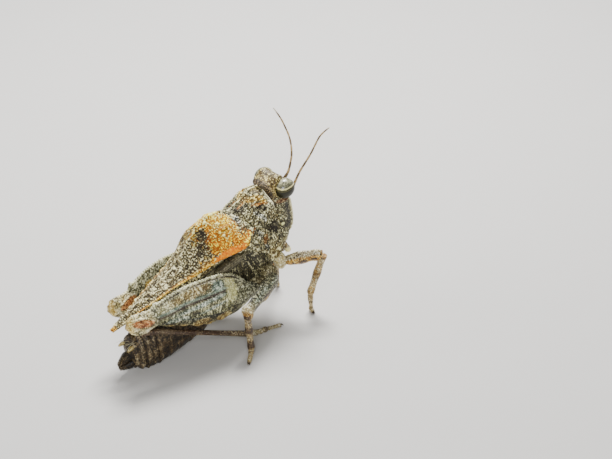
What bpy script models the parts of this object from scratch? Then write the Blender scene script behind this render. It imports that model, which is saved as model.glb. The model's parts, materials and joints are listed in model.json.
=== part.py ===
"""Pygmy grasshopper: a plump female standing still, hind legs folded, feelers raised.

Every piece is drawn in the body's own frame, in millimetres: forward, to the animal's right and towards its
back, from the top of the neck shield's front edge. The empty "stance" tips that frame nose up and lifts it
until feet and belly rest on the floor at z = 0. One dictionary or table per piece holds its sizes.
"""

import math

import bmesh
import bpy
from mathutils import Matrix, Vector

MM = 0.001
NAME = "pygmy_grasshopper"
STANCE_PITCH = math.radians(16.5)   # nose up
STANCE_HEIGHT = 6.36                # the frame's origin above the floor
STANCE_FORWARD = 2.75               # puts the whole box's middle over the origin
GAP = 0.06                          # between one piece and the next
TUBE_ROUNDNESS = 2
CREASE = math.radians(50)           # edges sharper than this stay sharp to the eye
PLAIN_ROUGHNESS = 0.6
SIDES = {"right": 1, "left": -1}

SHIELD_WALL = 0.30                  # thickness of the neck shield's side lobes
SHIELD_CEILING = -0.95              # underside of the shield over the fore body
CEILING_CORNER = (0.6, 0.8)         # where the underside's bevel starts, as shares of its width and height
SHIELD_CREST = 0.07                 # how far the middle keel stands up
# distance back: crest height, shoulder half width and height, roof roundness, edge half width and height
SHIELD = [
    (0.00, 0.00, 0.92, -0.50, 2.2, 1.06, -2.25),
    (0.25, 0.13, 0.98, -0.52, 2.2, 1.10, -2.75),
    (0.55, 0.17, 1.02, -0.55, 2.1, 1.14, -3.03),
    (0.85, 0.10, 1.05, -0.60, 2.0, 1.18, -3.10),
    (1.18, 0.04, 1.08, -0.66, 1.9, 1.22, -3.00),
    (1.38, 0.00, 1.12, -0.72, 1.8, 1.26, -2.35),
    (1.75, 0.00, 1.22, -0.82, 1.6, 1.34, -1.95),
    (2.10, 0.16, 1.45, -0.90, 1.5, 1.40, -1.60),
    (2.45, 0.38, 1.58, -0.95, 1.4, 1.38, -1.32),
    (3.00, 0.48, 1.40, -0.95, 1.4, 1.22, -1.22),
    (3.45, 0.40, 1.18, -0.97, 1.5, 1.08, -1.24),
    (3.90, 0.20, 1.02, -1.00, 1.6, 1.00, -1.29),
    (4.40, -0.12, 0.97, -1.02, 1.8, 1.00, -1.35),
    (5.00, -0.50, 0.90, -1.02, 2.0, 0.95, -1.36),
    (5.70, -0.75, 0.74, -1.02, 2.2, 0.80, -1.37),
    (7.00, -0.96, 0.52, -1.12, 2.4, 0.57, -1.44),
    (8.20, -1.10, 0.36, -1.20, 2.4, 0.39, -1.50),
    (9.00, -1.19, 0.25, -1.28, 2.4, 0.26, -1.54),
    (9.40, -1.26, 0.17, -1.34, 2.2, 0.16, -1.52),
]
SHIELD_RINGS = 30
SHIELD_RING_SPREAD = 1.15           # above 1 sets the rings closer together at the front
SHIELD_ROOF_POINTS = 6              # on each side, between keel and shoulder
# points of the side lobe: share of the way from shoulder to edge, outwards and downwards
SHIELD_LOBE = [(0.25, 0.35), (1.00, 0.75)]
SHIELD_RIM = 0.02                   # how far the lobe's lower edge turns in
SHIELD_WALL_SHARE = 0.35            # the wall is never thicker than this share of the half width

# height: face, back of the head, half width
HEAD = [
    (0.12, 0.96, 0.18, 0.46),
    (-0.06, 1.14, 0.09, 0.72),
    (-0.45, 1.21, 0.06, 0.88),
    (-0.90, 1.23, 0.06, 0.90),
    (-1.50, 1.15, 0.06, 0.90),
    (-2.00, 1.05, 0.06, 0.86),
    (-2.50, 0.91, 0.06, 0.74),
    (-2.90, 0.70, 0.06, 0.59),
    (-3.20, 0.50, 0.08, 0.46),
    (-3.34, 0.42, 0.12, 0.38),
]
HEAD_RINGS = 15
HEAD_POINTS = 20
HEAD_ROUNDNESS = 2.15
FACE_RIDGE = 0.12                   # the keel down the middle of the face
SEAT_FACETS = (12, 8)
EYE = {"forward": 0.90, "out": 0.79, "up": -0.36, "size": (0.43, 0.37, 0.45), "segments": 16, "rings": 10}
LIP = [(-3.40, 0.40, 0.06, 0.34), (-3.62, 0.35, 0.02, 0.31), (-3.86, 0.25, 0.00, 0.23)]
LIP_RINGS = 4
LIP_POINTS = 12
LIP_ROUNDNESS = 2.6
PALP = {"root": (0.17, 0.55, -3.40), "tip": (0.10, 0.57, -3.87), "radii": (0.18, 0.19, 0.14)}

FEELER_RADIUS = 0.25
FEELER_TIP = 0.6
FEELERS = {
    "right": [(1.52, 0.42, -0.92), (1.95, 0.62, -0.30), (2.62, 0.92, 0.42),
              (3.28, 1.16, 1.15), (3.66, 1.44, 1.44)],
    "left": [(1.52, -0.36, -0.92), (1.92, -0.24, -0.62), (2.30, -0.30, -0.20), (2.64, -0.52, 0.14),
             (3.02, -1.05, 0.58), (3.10, -1.36, 1.16), (3.14, -1.78, 1.62)],
}
FEELER_STEPS = 11
FEELER_SEAT = 0.12                  # room left in the head around each feeler's root

# distance back: half width, top, bottom
THORAX = [
    (0.00, 0.52, -1.05, -2.30),
    (0.35, 0.74, -1.06, -3.30),
    (0.80, 0.84, -1.06, -3.85),
    (1.40, 0.88, -1.10, -4.00),
    (2.20, 0.93, -1.06, -4.08),
    (3.12, 0.92, -1.06, -4.06),
    (3.22, 0.90, -1.92, -4.06),
    (4.20, 0.84, -1.97, -4.14),
]
THORAX_RINGS = [0.0, 0.2, 0.4, 0.75, 1.2, 1.8, 2.5, 3.12, 3.22, 3.7, 4.2]
ABDOMEN = [
    (4.28, 0.82, -1.97, -4.22),
    (5.40, 0.86, -1.97, -4.52),
    (6.80, 0.84, -2.02, -4.46),
    (7.80, 0.74, -2.06, -4.40),
    (8.30, 0.64, -2.12, -4.30),
    (8.68, 0.52, -2.24, -4.12),
    (8.90, 0.38, -2.44, -3.84),
]
ABDOMEN_SEGMENTS = 8
ABDOMEN_STEP = 0.05                 # how far each segment's hind edge stands out
TRUNK_POINTS = 18
THORAX_ROUNDNESS = 3.2
ABDOMEN_ROUNDNESS = 2.2
# each segment's rings: share of its length and how far the ring stands out, in steps
SEGMENT_RINGS = [(0.03, -1.0), (0.88, 0.0), (0.97, -0.8)]

VALVE = {
    "reach": 0.74, "half_width": 0.26, "teeth": 5, "tooth": 0.05, "curve": 1.5, "narrowing": 0.72,
    "tip_depth": 0.25, "inner_lift": 0.2, "roundness": 2.6,
}
VALVES = {"upper": (-2.86, -3.14, 1), "lower": (-3.72, -3.40, -1)}
VALVE_PARTING = (-3.30, 0.03)       # height of the line between the two blades, and half the gap there
VALVE_POINTS = 8
CERCUS = {"root": (-8.92, 0.28, -2.62), "tip": (-9.24, 0.38, -2.62), "radii": (0.16, 0.16, 0.064)}

# distance back: inner and outer distance from the middle, top, drop of the outer edge, thickness
HIND_WING = [
    (3.30, 0.10, 0.84, -1.38, 0.00, 0.46),
    (4.30, 0.05, 0.90, -1.45, 0.03, 0.44),
    (5.20, 0.05, 0.92, -1.46, 0.06, 0.42),
    (6.20, 0.05, 0.78, -1.48, 0.08, 0.42),
    (7.40, 0.05, 0.58, -1.56, 0.06, 0.42),
    (8.30, 0.05, 0.34, -1.64, 0.02, 0.34),
]
HIND_WING_RINGS = 12
HIND_WING_BEVEL = (0.10, 0.06, 0.03)    # of the outer top corner, the outer lower corner and the underside
HIND_WING_SIDE = 0.3                    # share of the thickness down to the widest line
FORE_WING = {"start": 2.30, "end": 4.05, "inner": 0.96, "thickness": 0.36, "top": -1.40, "bottom": -1.78,
             "rings": 7, "points": 10, "roundness": 2.5, "tip_share": 0.04}

# along the thigh, from hip to past the knee: height above and below its axis, half thickness
HIND_THIGH = [
    (0.00, 0.12, 0.16, 0.16),
    (0.05, 0.28, 0.42, 0.26),
    (0.10, 0.44, 0.62, 0.30),
    (0.16, 0.74, 0.78, 0.34),
    (0.22, 1.02, 0.86, 0.37),
    (0.28, 1.20, 0.88, 0.39),
    (0.37, 1.33, 0.88, 0.40),
    (0.46, 1.36, 0.87, 0.39),
    (0.55, 1.36, 0.77, 0.37),
    (0.64, 1.33, 0.60, 0.34),
    (0.73, 1.22, 0.44, 0.31),
    (0.82, 1.04, 0.30, 0.28),
    (0.90, 0.82, 0.20, 0.27),
    (0.95, 0.68, 0.30, 0.29),
    (1.00, 0.66, 0.46, 0.32),
    (1.05, 0.67, 0.40, 0.31),
    (1.10, 0.62, 0.24, 0.27),
    (1.13, 0.42, 0.02, 0.18),
]
THIGH_BOW = 0.22                    # the thigh curves round the body by this much
THIGH_ROUNDNESS = 1.7               # under 2 gives the thigh its lengthwise edges
THIGH_POINTS = 14
THIGH_RINGS = 24
HIND = {
    "right": {"hip": (-2.44, 1.36, -3.36), "knee": (-8.20, 0.92, -1.36)},
    "left": {"hip": (-2.34, -1.36, -3.36), "knee": (-7.90, -0.92, -1.45)},
}
HIND_SHIN = {"start": 0.89, "start_drop": 0.52, "end": 0.10, "end_drop": 2.24, "radius": 0.23, "out": 0.06,
             "steps": 6, "tip": 0.9}
# a foot's length and spread; where it bends, how far it sags there and at its tip
HIND_FOOT = {"ahead": 1.70, "out": 0.30, "bend": 0.45, "bend_sag": 0.15, "tip_sag": 0.20, "steps": 9}

# hip, knee, ankle, heel and claw tip of the fore and middle legs
LEGS = {
    "fore_right": [(-0.16, 1.04, -3.80), (0.95, 2.04, -3.84), (-0.05, 1.56, -5.68),
                   (-0.30, 1.62, -6.36), (-0.46, 1.94, -6.46)],
    "fore_left": [(-0.16, -1.04, -3.80), (0.92, -1.90, -3.95), (0.24, -1.10, -5.45),
                  (-0.02, -1.04, -6.36), (0.10, -1.40, -6.52)],
    "mid_right": [(-1.66, 1.50, -3.68), (-4.08, 2.66, -3.10), (-4.46, 2.62, -4.98),
                  (-4.76, 2.86, -5.12), (-5.16, 3.22, -5.06)],
    "mid_left": [(-1.66, -1.50, -3.68), (-3.98, -2.66, -3.16), (-4.30, -2.62, -5.02),
                 (-4.58, -2.87, -5.16), (-4.98, -3.24, -5.12)],
}
COXAE = {"fore": (-0.56, 0.76, -3.60), "mid": (-1.42, 0.98, -3.62), "hind": (-2.52, 1.00, -3.82)}
COXA_SIZE = {"fore": (0.30, 0.30, 0.48), "mid": (0.38, 0.36, 0.42), "hind": (0.46, 0.34, 0.29)}
COXA_FACETS = (10, 6)
# half height from hip to knee
FEMUR_HALF = {"fore": (0.22, 0.31, 0.30, 0.27, 0.27), "mid": (0.30, 0.36, 0.34, 0.29, 0.28)}
FEMUR_FLATTEN = 0.82
SHIN_HALF = (0.24, 0.23, 0.22)
FOOT_HALF = (0.21, 0.22, 0.16)
LIMB_POINTS = 10
SHORT_STEPS = 4                     # rings of a palp or tail feeler
SHIN_STEPS = 6
FEMUR_ARCH = 0.06                   # how far a femur's middle stands above its chord
KNEE_GAP = 0.12                     # cut from a femur's end
SHIN_GAP = {"fore": 0.50, "mid": 0.38}     # cut from a shin's upper end, to clear the femur

COLOURS = {
    "shield_mottled": (0.33, 0.27, 0.19),
    "horn_pale": (0.42, 0.38, 0.27),
    "eye_dark": (0.24, 0.22, 0.13),
    "thigh_grey_green": (0.36, 0.38, 0.30),
    "leg_banded": (0.52, 0.42, 0.26),
    "belly_brown": (0.20, 0.14, 0.09),
    "wing_brown": (0.25, 0.21, 0.15),
    "feeler_tan": (0.46, 0.37, 0.22),
}
ROUGHNESS = {"eye_dark": 0.18}


def spot(forward, right, up):
    return Vector((forward, -right, up)) * MM


def stance_matrix():
    lift = Matrix.Translation(Vector((STANCE_FORWARD, 0, STANCE_HEIGHT)) * MM)
    return lift @ Matrix.Rotation(-STANCE_PITCH, 4, "Y")


def on_floor(point):
    """The same point in the body's frame, raised to the floor's level if it lies under it."""
    stance = stance_matrix()
    world = stance @ point
    world.z = max(world.z, 0.0)
    return stance.inverted() @ world


def row_at(rows, x):
    """The row's values at x, on a smooth curve through the rows that never overshoots them."""
    if x <= rows[0][0]:
        return rows[0][1:]
    if x >= rows[-1][0]:
        return rows[-1][1:]
    i = max(k for k in range(len(rows) - 1) if rows[k][0] <= x)
    step = rows[i + 1][0] - rows[i][0]
    t = (x - rows[i][0]) / step
    values = []
    for c in range(1, len(rows[0])):
        before, after = slope_at(rows, i, c), slope_at(rows, i + 1, c)
        a, b = rows[i][c], rows[i + 1][c]
        values.append(
            a * (2 * t**3 - 3 * t**2 + 1) + b * (3 * t**2 - 2 * t**3)
            + step * (before * (t**3 - 2 * t**2 + t) + after * (t**3 - t**2))
        )
    return values


def slope_at(rows, i, c):
    if i == 0 or i == len(rows) - 1:
        return 0.0
    left = (rows[i][c] - rows[i - 1][c]) / (rows[i][0] - rows[i - 1][0])
    right = (rows[i + 1][c] - rows[i][c]) / (rows[i + 1][0] - rows[i][0])
    return 0.0 if left * right <= 0 else 2 * left * right / (left + right)


def spread(start, end, count):
    return [start + (end - start) * k / (count - 1) for k in range(count)]


def along_path(points, t):
    """A point at t, 0 to 1, on a smooth curve through the points, which are equally spaced in t."""
    rows = [(k / (len(points) - 1), *p) for k, p in enumerate(points)]
    return row_at(rows, t)


def material(slot):
    found = bpy.data.materials.get(slot)
    if found:
        return found
    made = bpy.data.materials.new(slot)
    made.use_nodes = True
    shader = made.node_tree.nodes["Principled BSDF"]
    shader.inputs["Base Color"].default_value = (*COLOURS[slot], 1.0)
    shader.inputs["Roughness"].default_value = ROUGHNESS.get(slot, PLAIN_ROUGHNESS)
    shader.inputs["Metallic"].default_value = 0.0
    made.diffuse_color = (*COLOURS[slot], 1.0)
    return made


def add_to(collection, obj):
    for other in obj.users_collection:
        other.objects.unlink(obj)
    collection.objects.link(obj)
    obj.parent = bpy.data.objects["stance"]
    return obj


def finish(obj, slot):
    obj.data.materials.append(material(slot))
    return add_to(bpy.data.collections[NAME], obj)


def loft(name, rings, slot):
    """A closed solid through rings of equally many points, capped at both ends."""
    mesh = bpy.data.meshes.new(name)
    solid = bmesh.new()
    loops = [[solid.verts.new(p) for p in ring] for ring in rings]
    for near, far in zip(loops, loops[1:]):
        for k in range(len(near)):
            solid.faces.new((near[k - 1], near[k], far[k], far[k - 1]))
    solid.faces.new(loops[0])
    solid.faces.new(loops[-1])
    bmesh.ops.recalc_face_normals(solid, faces=solid.faces)
    solid.to_mesh(mesh)
    solid.free()
    mesh.shade_smooth()
    mesh.set_sharp_from_angle(angle=CREASE)
    return finish(bpy.data.objects.new(name, mesh), slot)


def ball(name, centre, size, segments, rings):
    bpy.ops.mesh.primitive_uv_sphere_add(segments=segments, ring_count=rings, radius=MM)
    obj = bpy.context.object
    obj.name = name
    obj.data.name = name
    obj.data.transform(Matrix.Diagonal((*size, 1.0)))
    obj.data.shade_smooth()
    obj.location = centre
    return obj


def tube(name, points, radius, slot, tip):
    """A bevelled wire through the points, its last point thinned to the share tip."""
    curve = bpy.data.curves.new(name, "CURVE")
    curve.dimensions = "3D"
    curve.bevel_depth = radius * MM
    curve.bevel_resolution = TUBE_ROUNDNESS
    curve.use_fill_caps = True
    spline = curve.splines.new("POLY")
    spline.points.add(len(points) - 1)
    for k, point in enumerate(points):
        spline.points[k].co = (*point, 1.0)
        spline.points[k].radius = tip if k == len(points) - 1 else 1.0
    return finish(bpy.data.objects.new(name, curve), slot)


def oval(u, power):
    """A point of a rounded box: power 2 is an ellipse, more is squarer."""
    c, s = math.cos(u), math.sin(u)
    return math.copysign(abs(c) ** (2 / power), c), math.copysign(abs(s) ** (2 / power), s)


def limb(name, path, halves, slot, flatten=1.0, steps=7):
    """A leg segment along the path, half heights read from the list, flat where it meets the floor."""
    rows = [(k / (len(halves) - 1), h) for k, h in enumerate(halves)]
    centres = [spot(*along_path(path, t)) for t in spread(0, 1, steps)]
    rings = []
    for k, t in enumerate(spread(0, 1, steps)):
        ahead = (centres[min(k + 1, steps - 1)] - centres[max(k - 1, 0)]).normalized()
        across = ahead.cross(Vector((0, 0, 1))).normalized()
        upward = across.cross(ahead)
        half = row_at(rows, t)[0] * MM
        ring = []
        for j in range(LIMB_POINTS):
            angle = 2 * math.pi * j / LIMB_POINTS
            reach = across * math.cos(angle) * half * flatten + upward * math.sin(angle) * half
            ring.append(on_floor(centres[k] + reach))
        rings.append(ring)
    return loft(name, rings, slot)


def shorten(a, b, start, end):
    """The stretch from a to b with the given lengths left out at its two ends."""
    a, b = Vector(a), Vector(b)
    way = (b - a).normalized()
    return tuple(a + way * start), tuple(b - way * end)


# neck shield

def shield_ring(back):
    crest, shoulder, height, power, edge, edge_height = row_at(SHIELD, back)
    half = []
    for k in range(SHIELD_ROOF_POINTS + 1):
        share = k / SHIELD_ROOF_POINTS
        keel = SHIELD_CREST if k == 0 else 0.0
        half.append((shoulder * share, height + (crest - height) * (1 - share**power) + keel))
    for outwards, downwards in SHIELD_LOBE:
        half.append((shoulder + outwards * (edge - shoulder), height + downwards * (edge_height - height)))
    half.append((edge - SHIELD_RIM, edge_height))
    wall = min(SHIELD_WALL, SHIELD_WALL_SHARE * edge)
    ceiling = max(min(SHIELD_CEILING, crest - wall), edge_height + SHIELD_RIM)
    inside = edge - wall
    half.append((inside, edge_height))
    half.append((inside, edge_height + CEILING_CORNER[1] * (ceiling - edge_height)))
    half.append((CEILING_CORNER[0] * inside, ceiling))
    half.append((0.0, ceiling))
    left = [(-r, u) for r, u in reversed(half[1:-1])]
    return [spot(-back, r, u) for r, u in half + left]


def make_shield():
    last = SHIELD[-1][0]
    backs = [last * share**SHIELD_RING_SPREAD for share in spread(0, 1, SHIELD_RINGS)]
    loft("pronotum", [shield_ring(b) for b in backs], "shield_mottled")


# head

def head_ring(height, rows, points, roundness, ridge=0.0):
    face, back, half_width = row_at(rows, height)
    middle = 0.5 * (face + back)
    reach = 0.5 * (face - back)
    ring = []
    for k in range(points):
        u = 2 * math.pi * k / points
        f, r = oval(u, roundness)
        bump = ridge if k == 0 else 0.0
        ring.append(spot(middle + reach * f + bump, half_width * r, height))
    return ring


def cut_away(obj, cutter):
    cutter.display_type = "WIRE"
    cutter.hide_render = True
    add_to(bpy.data.collections["cutters"], cutter)
    cut = obj.modifiers.new("hollow", "BOOLEAN")
    cut.operation = "DIFFERENCE"
    cut.solver = "EXACT"
    cut.object = cutter


def make_head():
    rows = sorted(HEAD)
    heights = spread(rows[-1][0], rows[0][0], HEAD_RINGS)
    rings = [head_ring(h, rows, HEAD_POINTS, HEAD_ROUNDNESS, FACE_RIDGE) for h in heights]
    head = loft("head", rings, "horn_pale")
    for side, sign in SIDES.items():
        centre = spot(EYE["forward"], sign * EYE["out"], EYE["up"])
        eye = ball(f"eye_{side}", centre, EYE["size"], EYE["segments"], EYE["rings"])
        finish(eye, "eye_dark")
        room = [s + GAP for s in EYE["size"]]
        cut_away(head, ball(f"socket_{side}", centre, room, EYE["segments"], EYE["rings"]))
        root = FEELERS[side][0]
        hollow = ball(f"feeler_seat_{side}", spot(*root), [FEELER_RADIUS + FEELER_SEAT] * 3, *SEAT_FACETS)
        cut_away(head, hollow)
        steps = spread(0, 1, FEELER_STEPS)
        points = [spot(*along_path(FEELERS[side], t)) for t in steps]
        tube(f"antenna_{side}", points, FEELER_RADIUS, "feeler_tan", FEELER_TIP)
        palp_root, palp_tip = ((f, sign * r, u) for f, r, u in (PALP["root"], PALP["tip"]))
        limb(f"palp_{side}", [palp_root, palp_tip], PALP["radii"], "horn_pale", steps=SHORT_STEPS)
    lip = sorted(LIP)
    heights = spread(lip[-1][0], lip[0][0], LIP_RINGS)
    rings = [head_ring(h, lip, LIP_POINTS, LIP_ROUNDNESS) for h in heights]
    loft("labrum", rings, "horn_pale")


# thorax and abdomen

def trunk_ring(back, rows, roundness, swell=0.0):
    half_width, top, bottom = row_at(rows, back)
    middle, reach = 0.5 * (top + bottom), 0.5 * (top - bottom)
    ring = []
    for k in range(TRUNK_POINTS):
        r, u = oval(2 * math.pi * (k + 0.5) / TRUNK_POINTS, roundness)
        ring.append(on_floor(spot(-back, (half_width + swell) * r, middle + (reach + swell) * u)))
    return ring


def make_trunk():
    rings = [trunk_ring(b, THORAX, THORAX_ROUNDNESS) for b in THORAX_RINGS]
    thorax = loft("thorax", rings, "belly_brown")
    first, last = ABDOMEN[0][0], ABDOMEN[-1][0]
    length = (last - first) / ABDOMEN_SEGMENTS
    rings = []
    for k in range(ABDOMEN_SEGMENTS):
        start = first + k * length
        for share, swell in SEGMENT_RINGS:
            back = start + share * length
            rings.append(trunk_ring(back, ABDOMEN, ABDOMEN_ROUNDNESS, swell * ABDOMEN_STEP))
    loft("abdomen", rings, "belly_brown")
    make_coxae(thorax)
    for part, (root_height, tip_height, side) in VALVES.items():
        make_valve(part, root_height, tip_height, side)
    for side, sign in SIDES.items():
        root, tip = ((f, sign * r, u) for f, r, u in (CERCUS["root"], CERCUS["tip"]))
        limb(f"cercus_{side}", [root, tip], CERCUS["radii"], "belly_brown", steps=SHORT_STEPS)


def make_coxae(thorax):
    """The first joint of each leg, sunk into a hollow of the thorax."""
    for pair, (forward, out, up) in COXAE.items():
        for side, sign in SIDES.items():
            centre = spot(forward, sign * out, up)
            room = [s + GAP for s in COXA_SIZE[pair]]
            cut_away(thorax, ball(f"coxa_hollow_{pair}_{side}", centre, room, *COXA_FACETS))
            finish(ball(f"coxa_{pair}_{side}", centre, COXA_SIZE[pair], *COXA_FACETS), "belly_brown")


def make_valve(part, root_height, tip_height, side):
    """One blade of the egg layer, toothed along its free edge and drawn to an upturned or downturned tip."""
    start = ABDOMEN[-1][0] + GAP
    parting, half_gap = VALVE_PARTING
    rings = []
    for k, t in enumerate(spread(0, 1, 2 * VALVE["teeth"] + 1)):
        tooth = VALVE["tooth"] if k % 2 else 0.0
        outer = root_height + (tip_height - root_height) * t ** VALVE["curve"] + side * tooth
        rise = tip_height - side * VALVE["tip_depth"] - parting
        inner = parting + side * half_gap + rise * VALVE["inner_lift"] * t
        half = VALVE["half_width"] * (1 - VALVE["narrowing"] * t**2)
        middle, reach = 0.5 * (outer + inner), 0.5 * abs(outer - inner)
        ring = []
        for j in range(VALVE_POINTS):
            r, u = oval(2 * math.pi * (j + 0.5) / VALVE_POINTS, VALVE["roundness"])
            ring.append(spot(-start - VALVE["reach"] * t, half * r, middle + reach * u))
        rings.append(ring)
    loft(f"ovipositor_{part}", rings, "belly_brown")


# wings

def make_wings():
    top_bevel, low_bevel, flat_bevel = HIND_WING_BEVEL
    for side, sign in SIDES.items():
        rings = []
        for back in spread(HIND_WING[0][0], HIND_WING[-1][0], HIND_WING_RINGS):
            inner, outer, top, drop, thick = row_at(HIND_WING, back)
            middle = 0.5 * (inner + outer)
            side_top, bottom = top - drop, top - thick
            outline = [
                (inner, top), (middle, top), (outer - top_bevel, side_top),
                (outer, side_top - HIND_WING_SIDE * thick), (outer - low_bevel, bottom - drop + low_bevel),
                (middle, bottom + flat_bevel), (inner, bottom + flat_bevel),
            ]
            rings.append([spot(-back, sign * r, u) for r, u in outline])
        loft(f"hindwing_{side}", rings, "wing_brown")
        make_fore_wing(side, sign)


def make_fore_wing(side, sign):
    wing = FORE_WING
    rings = []
    for t in spread(wing["tip_share"], 1 - wing["tip_share"], wing["rings"]):
        back = wing["start"] + (wing["end"] - wing["start"]) * t
        fullness = math.sin(math.pi * t) ** 0.5
        middle = 0.5 * (wing["top"] + wing["bottom"])
        reach = 0.5 * (wing["top"] - wing["bottom"]) * fullness
        depth = 0.5 * wing["thickness"] * fullness
        ring = []
        for j in range(wing["points"]):
            r, u = oval(2 * math.pi * j / wing["points"], wing["roundness"])
            out = wing["inner"] + 0.5 * wing["thickness"] + depth * r
            ring.append(spot(-back, sign * out, middle + reach * u))
        rings.append(ring)
    loft(f"tegmen_{side}", rings, "wing_brown")


# legs

def thigh_axis(side, t):
    """A point on the hind thigh's axis and its upward direction, in millimetres."""
    hip, knee = Vector(HIND[side]["hip"]), Vector(HIND[side]["knee"])
    bow = Vector((0, SIDES[side] * THIGH_BOW * 4 * min(t, 1) * (1 - min(t, 1)), 0))
    along = (knee - hip).normalized()
    upward = Vector((-along.z, 0, along.x)) * -1
    return hip + (knee - hip) * t + bow, upward.normalized()


def make_hind_leg(side, sign):
    rings = []
    for t in spread(HIND_THIGH[0][0], HIND_THIGH[-1][0], THIGH_RINGS):
        above, below, half = row_at(HIND_THIGH, t)
        centre, upward = thigh_axis(side, t)
        ring = []
        for j in range(THIGH_POINTS):
            r, u = oval(2 * math.pi * j / THIGH_POINTS, THIGH_ROUNDNESS)
            point = centre + upward * u * (above if u > 0 else below) + Vector((0, half * r, 0))
            ring.append(spot(*point))
        rings.append(ring)
    loft(f"femur_hind_{side}", rings, "thigh_grey_green")
    shin = HIND_SHIN
    ends = []
    for where, drop in ((shin["start"], shin["start_drop"]), (shin["end"], shin["end_drop"])):
        centre, upward = thigh_axis(side, where)
        ends.append(centre - upward * drop + Vector((0, sign * shin["out"], 0)))
    points = [spot(*(ends[0].lerp(ends[1], t))) for t in spread(0, 1, shin["steps"])]
    tube(f"tibia_hind_{side}", points, shin["radius"], "leg_banded", shin["tip"])
    start = ends[1] + (ends[1] - ends[0]).normalized() * GAP
    foot = HIND_FOOT
    floor_way = Vector((math.cos(STANCE_PITCH), 0, -math.sin(STANCE_PITCH)))
    down = Vector((-math.sin(STANCE_PITCH), 0, -math.cos(STANCE_PITCH)))
    tip = start + floor_way * foot["ahead"] + Vector((0, sign * foot["out"], 0))
    middle = start.lerp(tip, foot["bend"]) + down * foot["bend_sag"]
    tip = tip + down * foot["tip_sag"]
    limb(f"tarsus_hind_{side}", [start, middle, tip], FOOT_HALF, "leg_banded", steps=foot["steps"])


def make_legs():
    for side, sign in SIDES.items():
        make_hind_leg(side, sign)
    for name, (hip, knee, ankle, heel, claw) in LEGS.items():
        bend = Vector(hip).lerp(Vector(knee), 0.5) + Vector((0, 0, FEMUR_ARCH))
        start, end = shorten(hip, knee, 0.0, KNEE_GAP)
        pair = name.split("_")[0]
        limb(f"femur_{name}", [start, tuple(bend), end], FEMUR_HALF[pair], "leg_banded", FEMUR_FLATTEN)
        start, end = shorten(knee, ankle, SHIN_GAP[pair], 0.0)
        limb(f"tibia_{name}", [start, end], SHIN_HALF, "leg_banded", steps=SHIN_STEPS)
        start, end = shorten(ankle, heel, FOOT_HALF[0] + GAP, 0.0)
        limb(f"tarsus_{name}", [start, end, claw], FOOT_HALF, "leg_banded")


def main():
    for old in list(bpy.data.objects):
        bpy.data.objects.remove(old, do_unlink=True)
    for title in (NAME, "cutters"):
        bpy.context.scene.collection.children.link(bpy.data.collections.new(title))
    stance = bpy.data.objects.new("stance", None)
    bpy.data.collections[NAME].objects.link(stance)
    stance.matrix_world = stance_matrix()
    make_shield()
    make_head()
    make_trunk()
    make_wings()
    make_legs()


main()
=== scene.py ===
import itertools
import json
import math
import bpy
import numpy as np
from mathutils import Matrix, Vector

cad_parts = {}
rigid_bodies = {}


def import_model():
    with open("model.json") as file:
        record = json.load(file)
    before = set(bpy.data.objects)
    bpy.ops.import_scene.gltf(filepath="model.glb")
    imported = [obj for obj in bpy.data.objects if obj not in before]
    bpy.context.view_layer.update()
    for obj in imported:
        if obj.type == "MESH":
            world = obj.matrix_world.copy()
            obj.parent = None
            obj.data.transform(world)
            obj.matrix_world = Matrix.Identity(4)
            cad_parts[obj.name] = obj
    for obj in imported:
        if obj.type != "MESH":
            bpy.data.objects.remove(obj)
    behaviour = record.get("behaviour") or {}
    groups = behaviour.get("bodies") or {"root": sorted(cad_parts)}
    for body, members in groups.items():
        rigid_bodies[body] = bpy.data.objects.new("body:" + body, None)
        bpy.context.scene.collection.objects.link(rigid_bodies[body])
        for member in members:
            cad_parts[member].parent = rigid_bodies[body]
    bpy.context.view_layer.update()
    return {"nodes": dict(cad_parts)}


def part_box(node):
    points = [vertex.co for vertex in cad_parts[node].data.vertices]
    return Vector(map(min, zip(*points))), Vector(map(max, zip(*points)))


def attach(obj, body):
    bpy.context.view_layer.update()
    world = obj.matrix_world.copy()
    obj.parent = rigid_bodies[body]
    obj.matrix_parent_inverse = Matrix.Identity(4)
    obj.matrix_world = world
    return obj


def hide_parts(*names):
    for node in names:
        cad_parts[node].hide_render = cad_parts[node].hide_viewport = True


for leftover in list(bpy.data.objects):
    bpy.data.objects.remove(leftover, do_unlink=True)
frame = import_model()
print("grasshopper: frame loaded,", len(frame["nodes"]), "solids")

mm = 0.001
sides = {"right": 1, "left": -1}

# The animal is drawn in its own frame in millimetres: forward, to its right, towards its back.
stance = {
    "pitch": math.radians(16.5),                # nose up
    "fromShieldMiddle": (4.018, 0.0, 1.9969),   # where that frame starts, from the middle of the shield's box
}
shieldLow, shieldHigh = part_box("pronotum")
bodyStart = np.array((shieldLow + shieldHigh) / 2) / mm + np.array(stance["fromShieldMiddle"])


def toWorld(points):
    forward, right, up = points[..., 0], points[..., 1], points[..., 2]
    c, s = math.cos(stance["pitch"]), math.sin(stance["pitch"])
    return np.stack([forward * c - up * s, -right, forward * s + up * c], -1) + bodyStart


def toBody(points):
    x, y, z = np.moveaxis(points - bodyStart, -1, 0)
    c, s = math.cos(stance["pitch"]), math.sin(stance["pitch"])
    return np.stack([x * c + z * s, -y, z * c - x * s], -1)


def aboveFloor(points, clear=0.0):
    world = toWorld(points)
    world[..., 2] = np.maximum(world[..., 2], clear)
    return toBody(world)


# noise, all seeded

# odd numbers that mix a cell's place and seed into one number
hashing = {
    "axes": (73856093, 19349663, 83492791), "seed": 2654435761,
    "rounds": ((16, 0x7FEB352D), (15, 0x846CA68B)), "lastShift": 16, "bits": 32,
}


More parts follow.
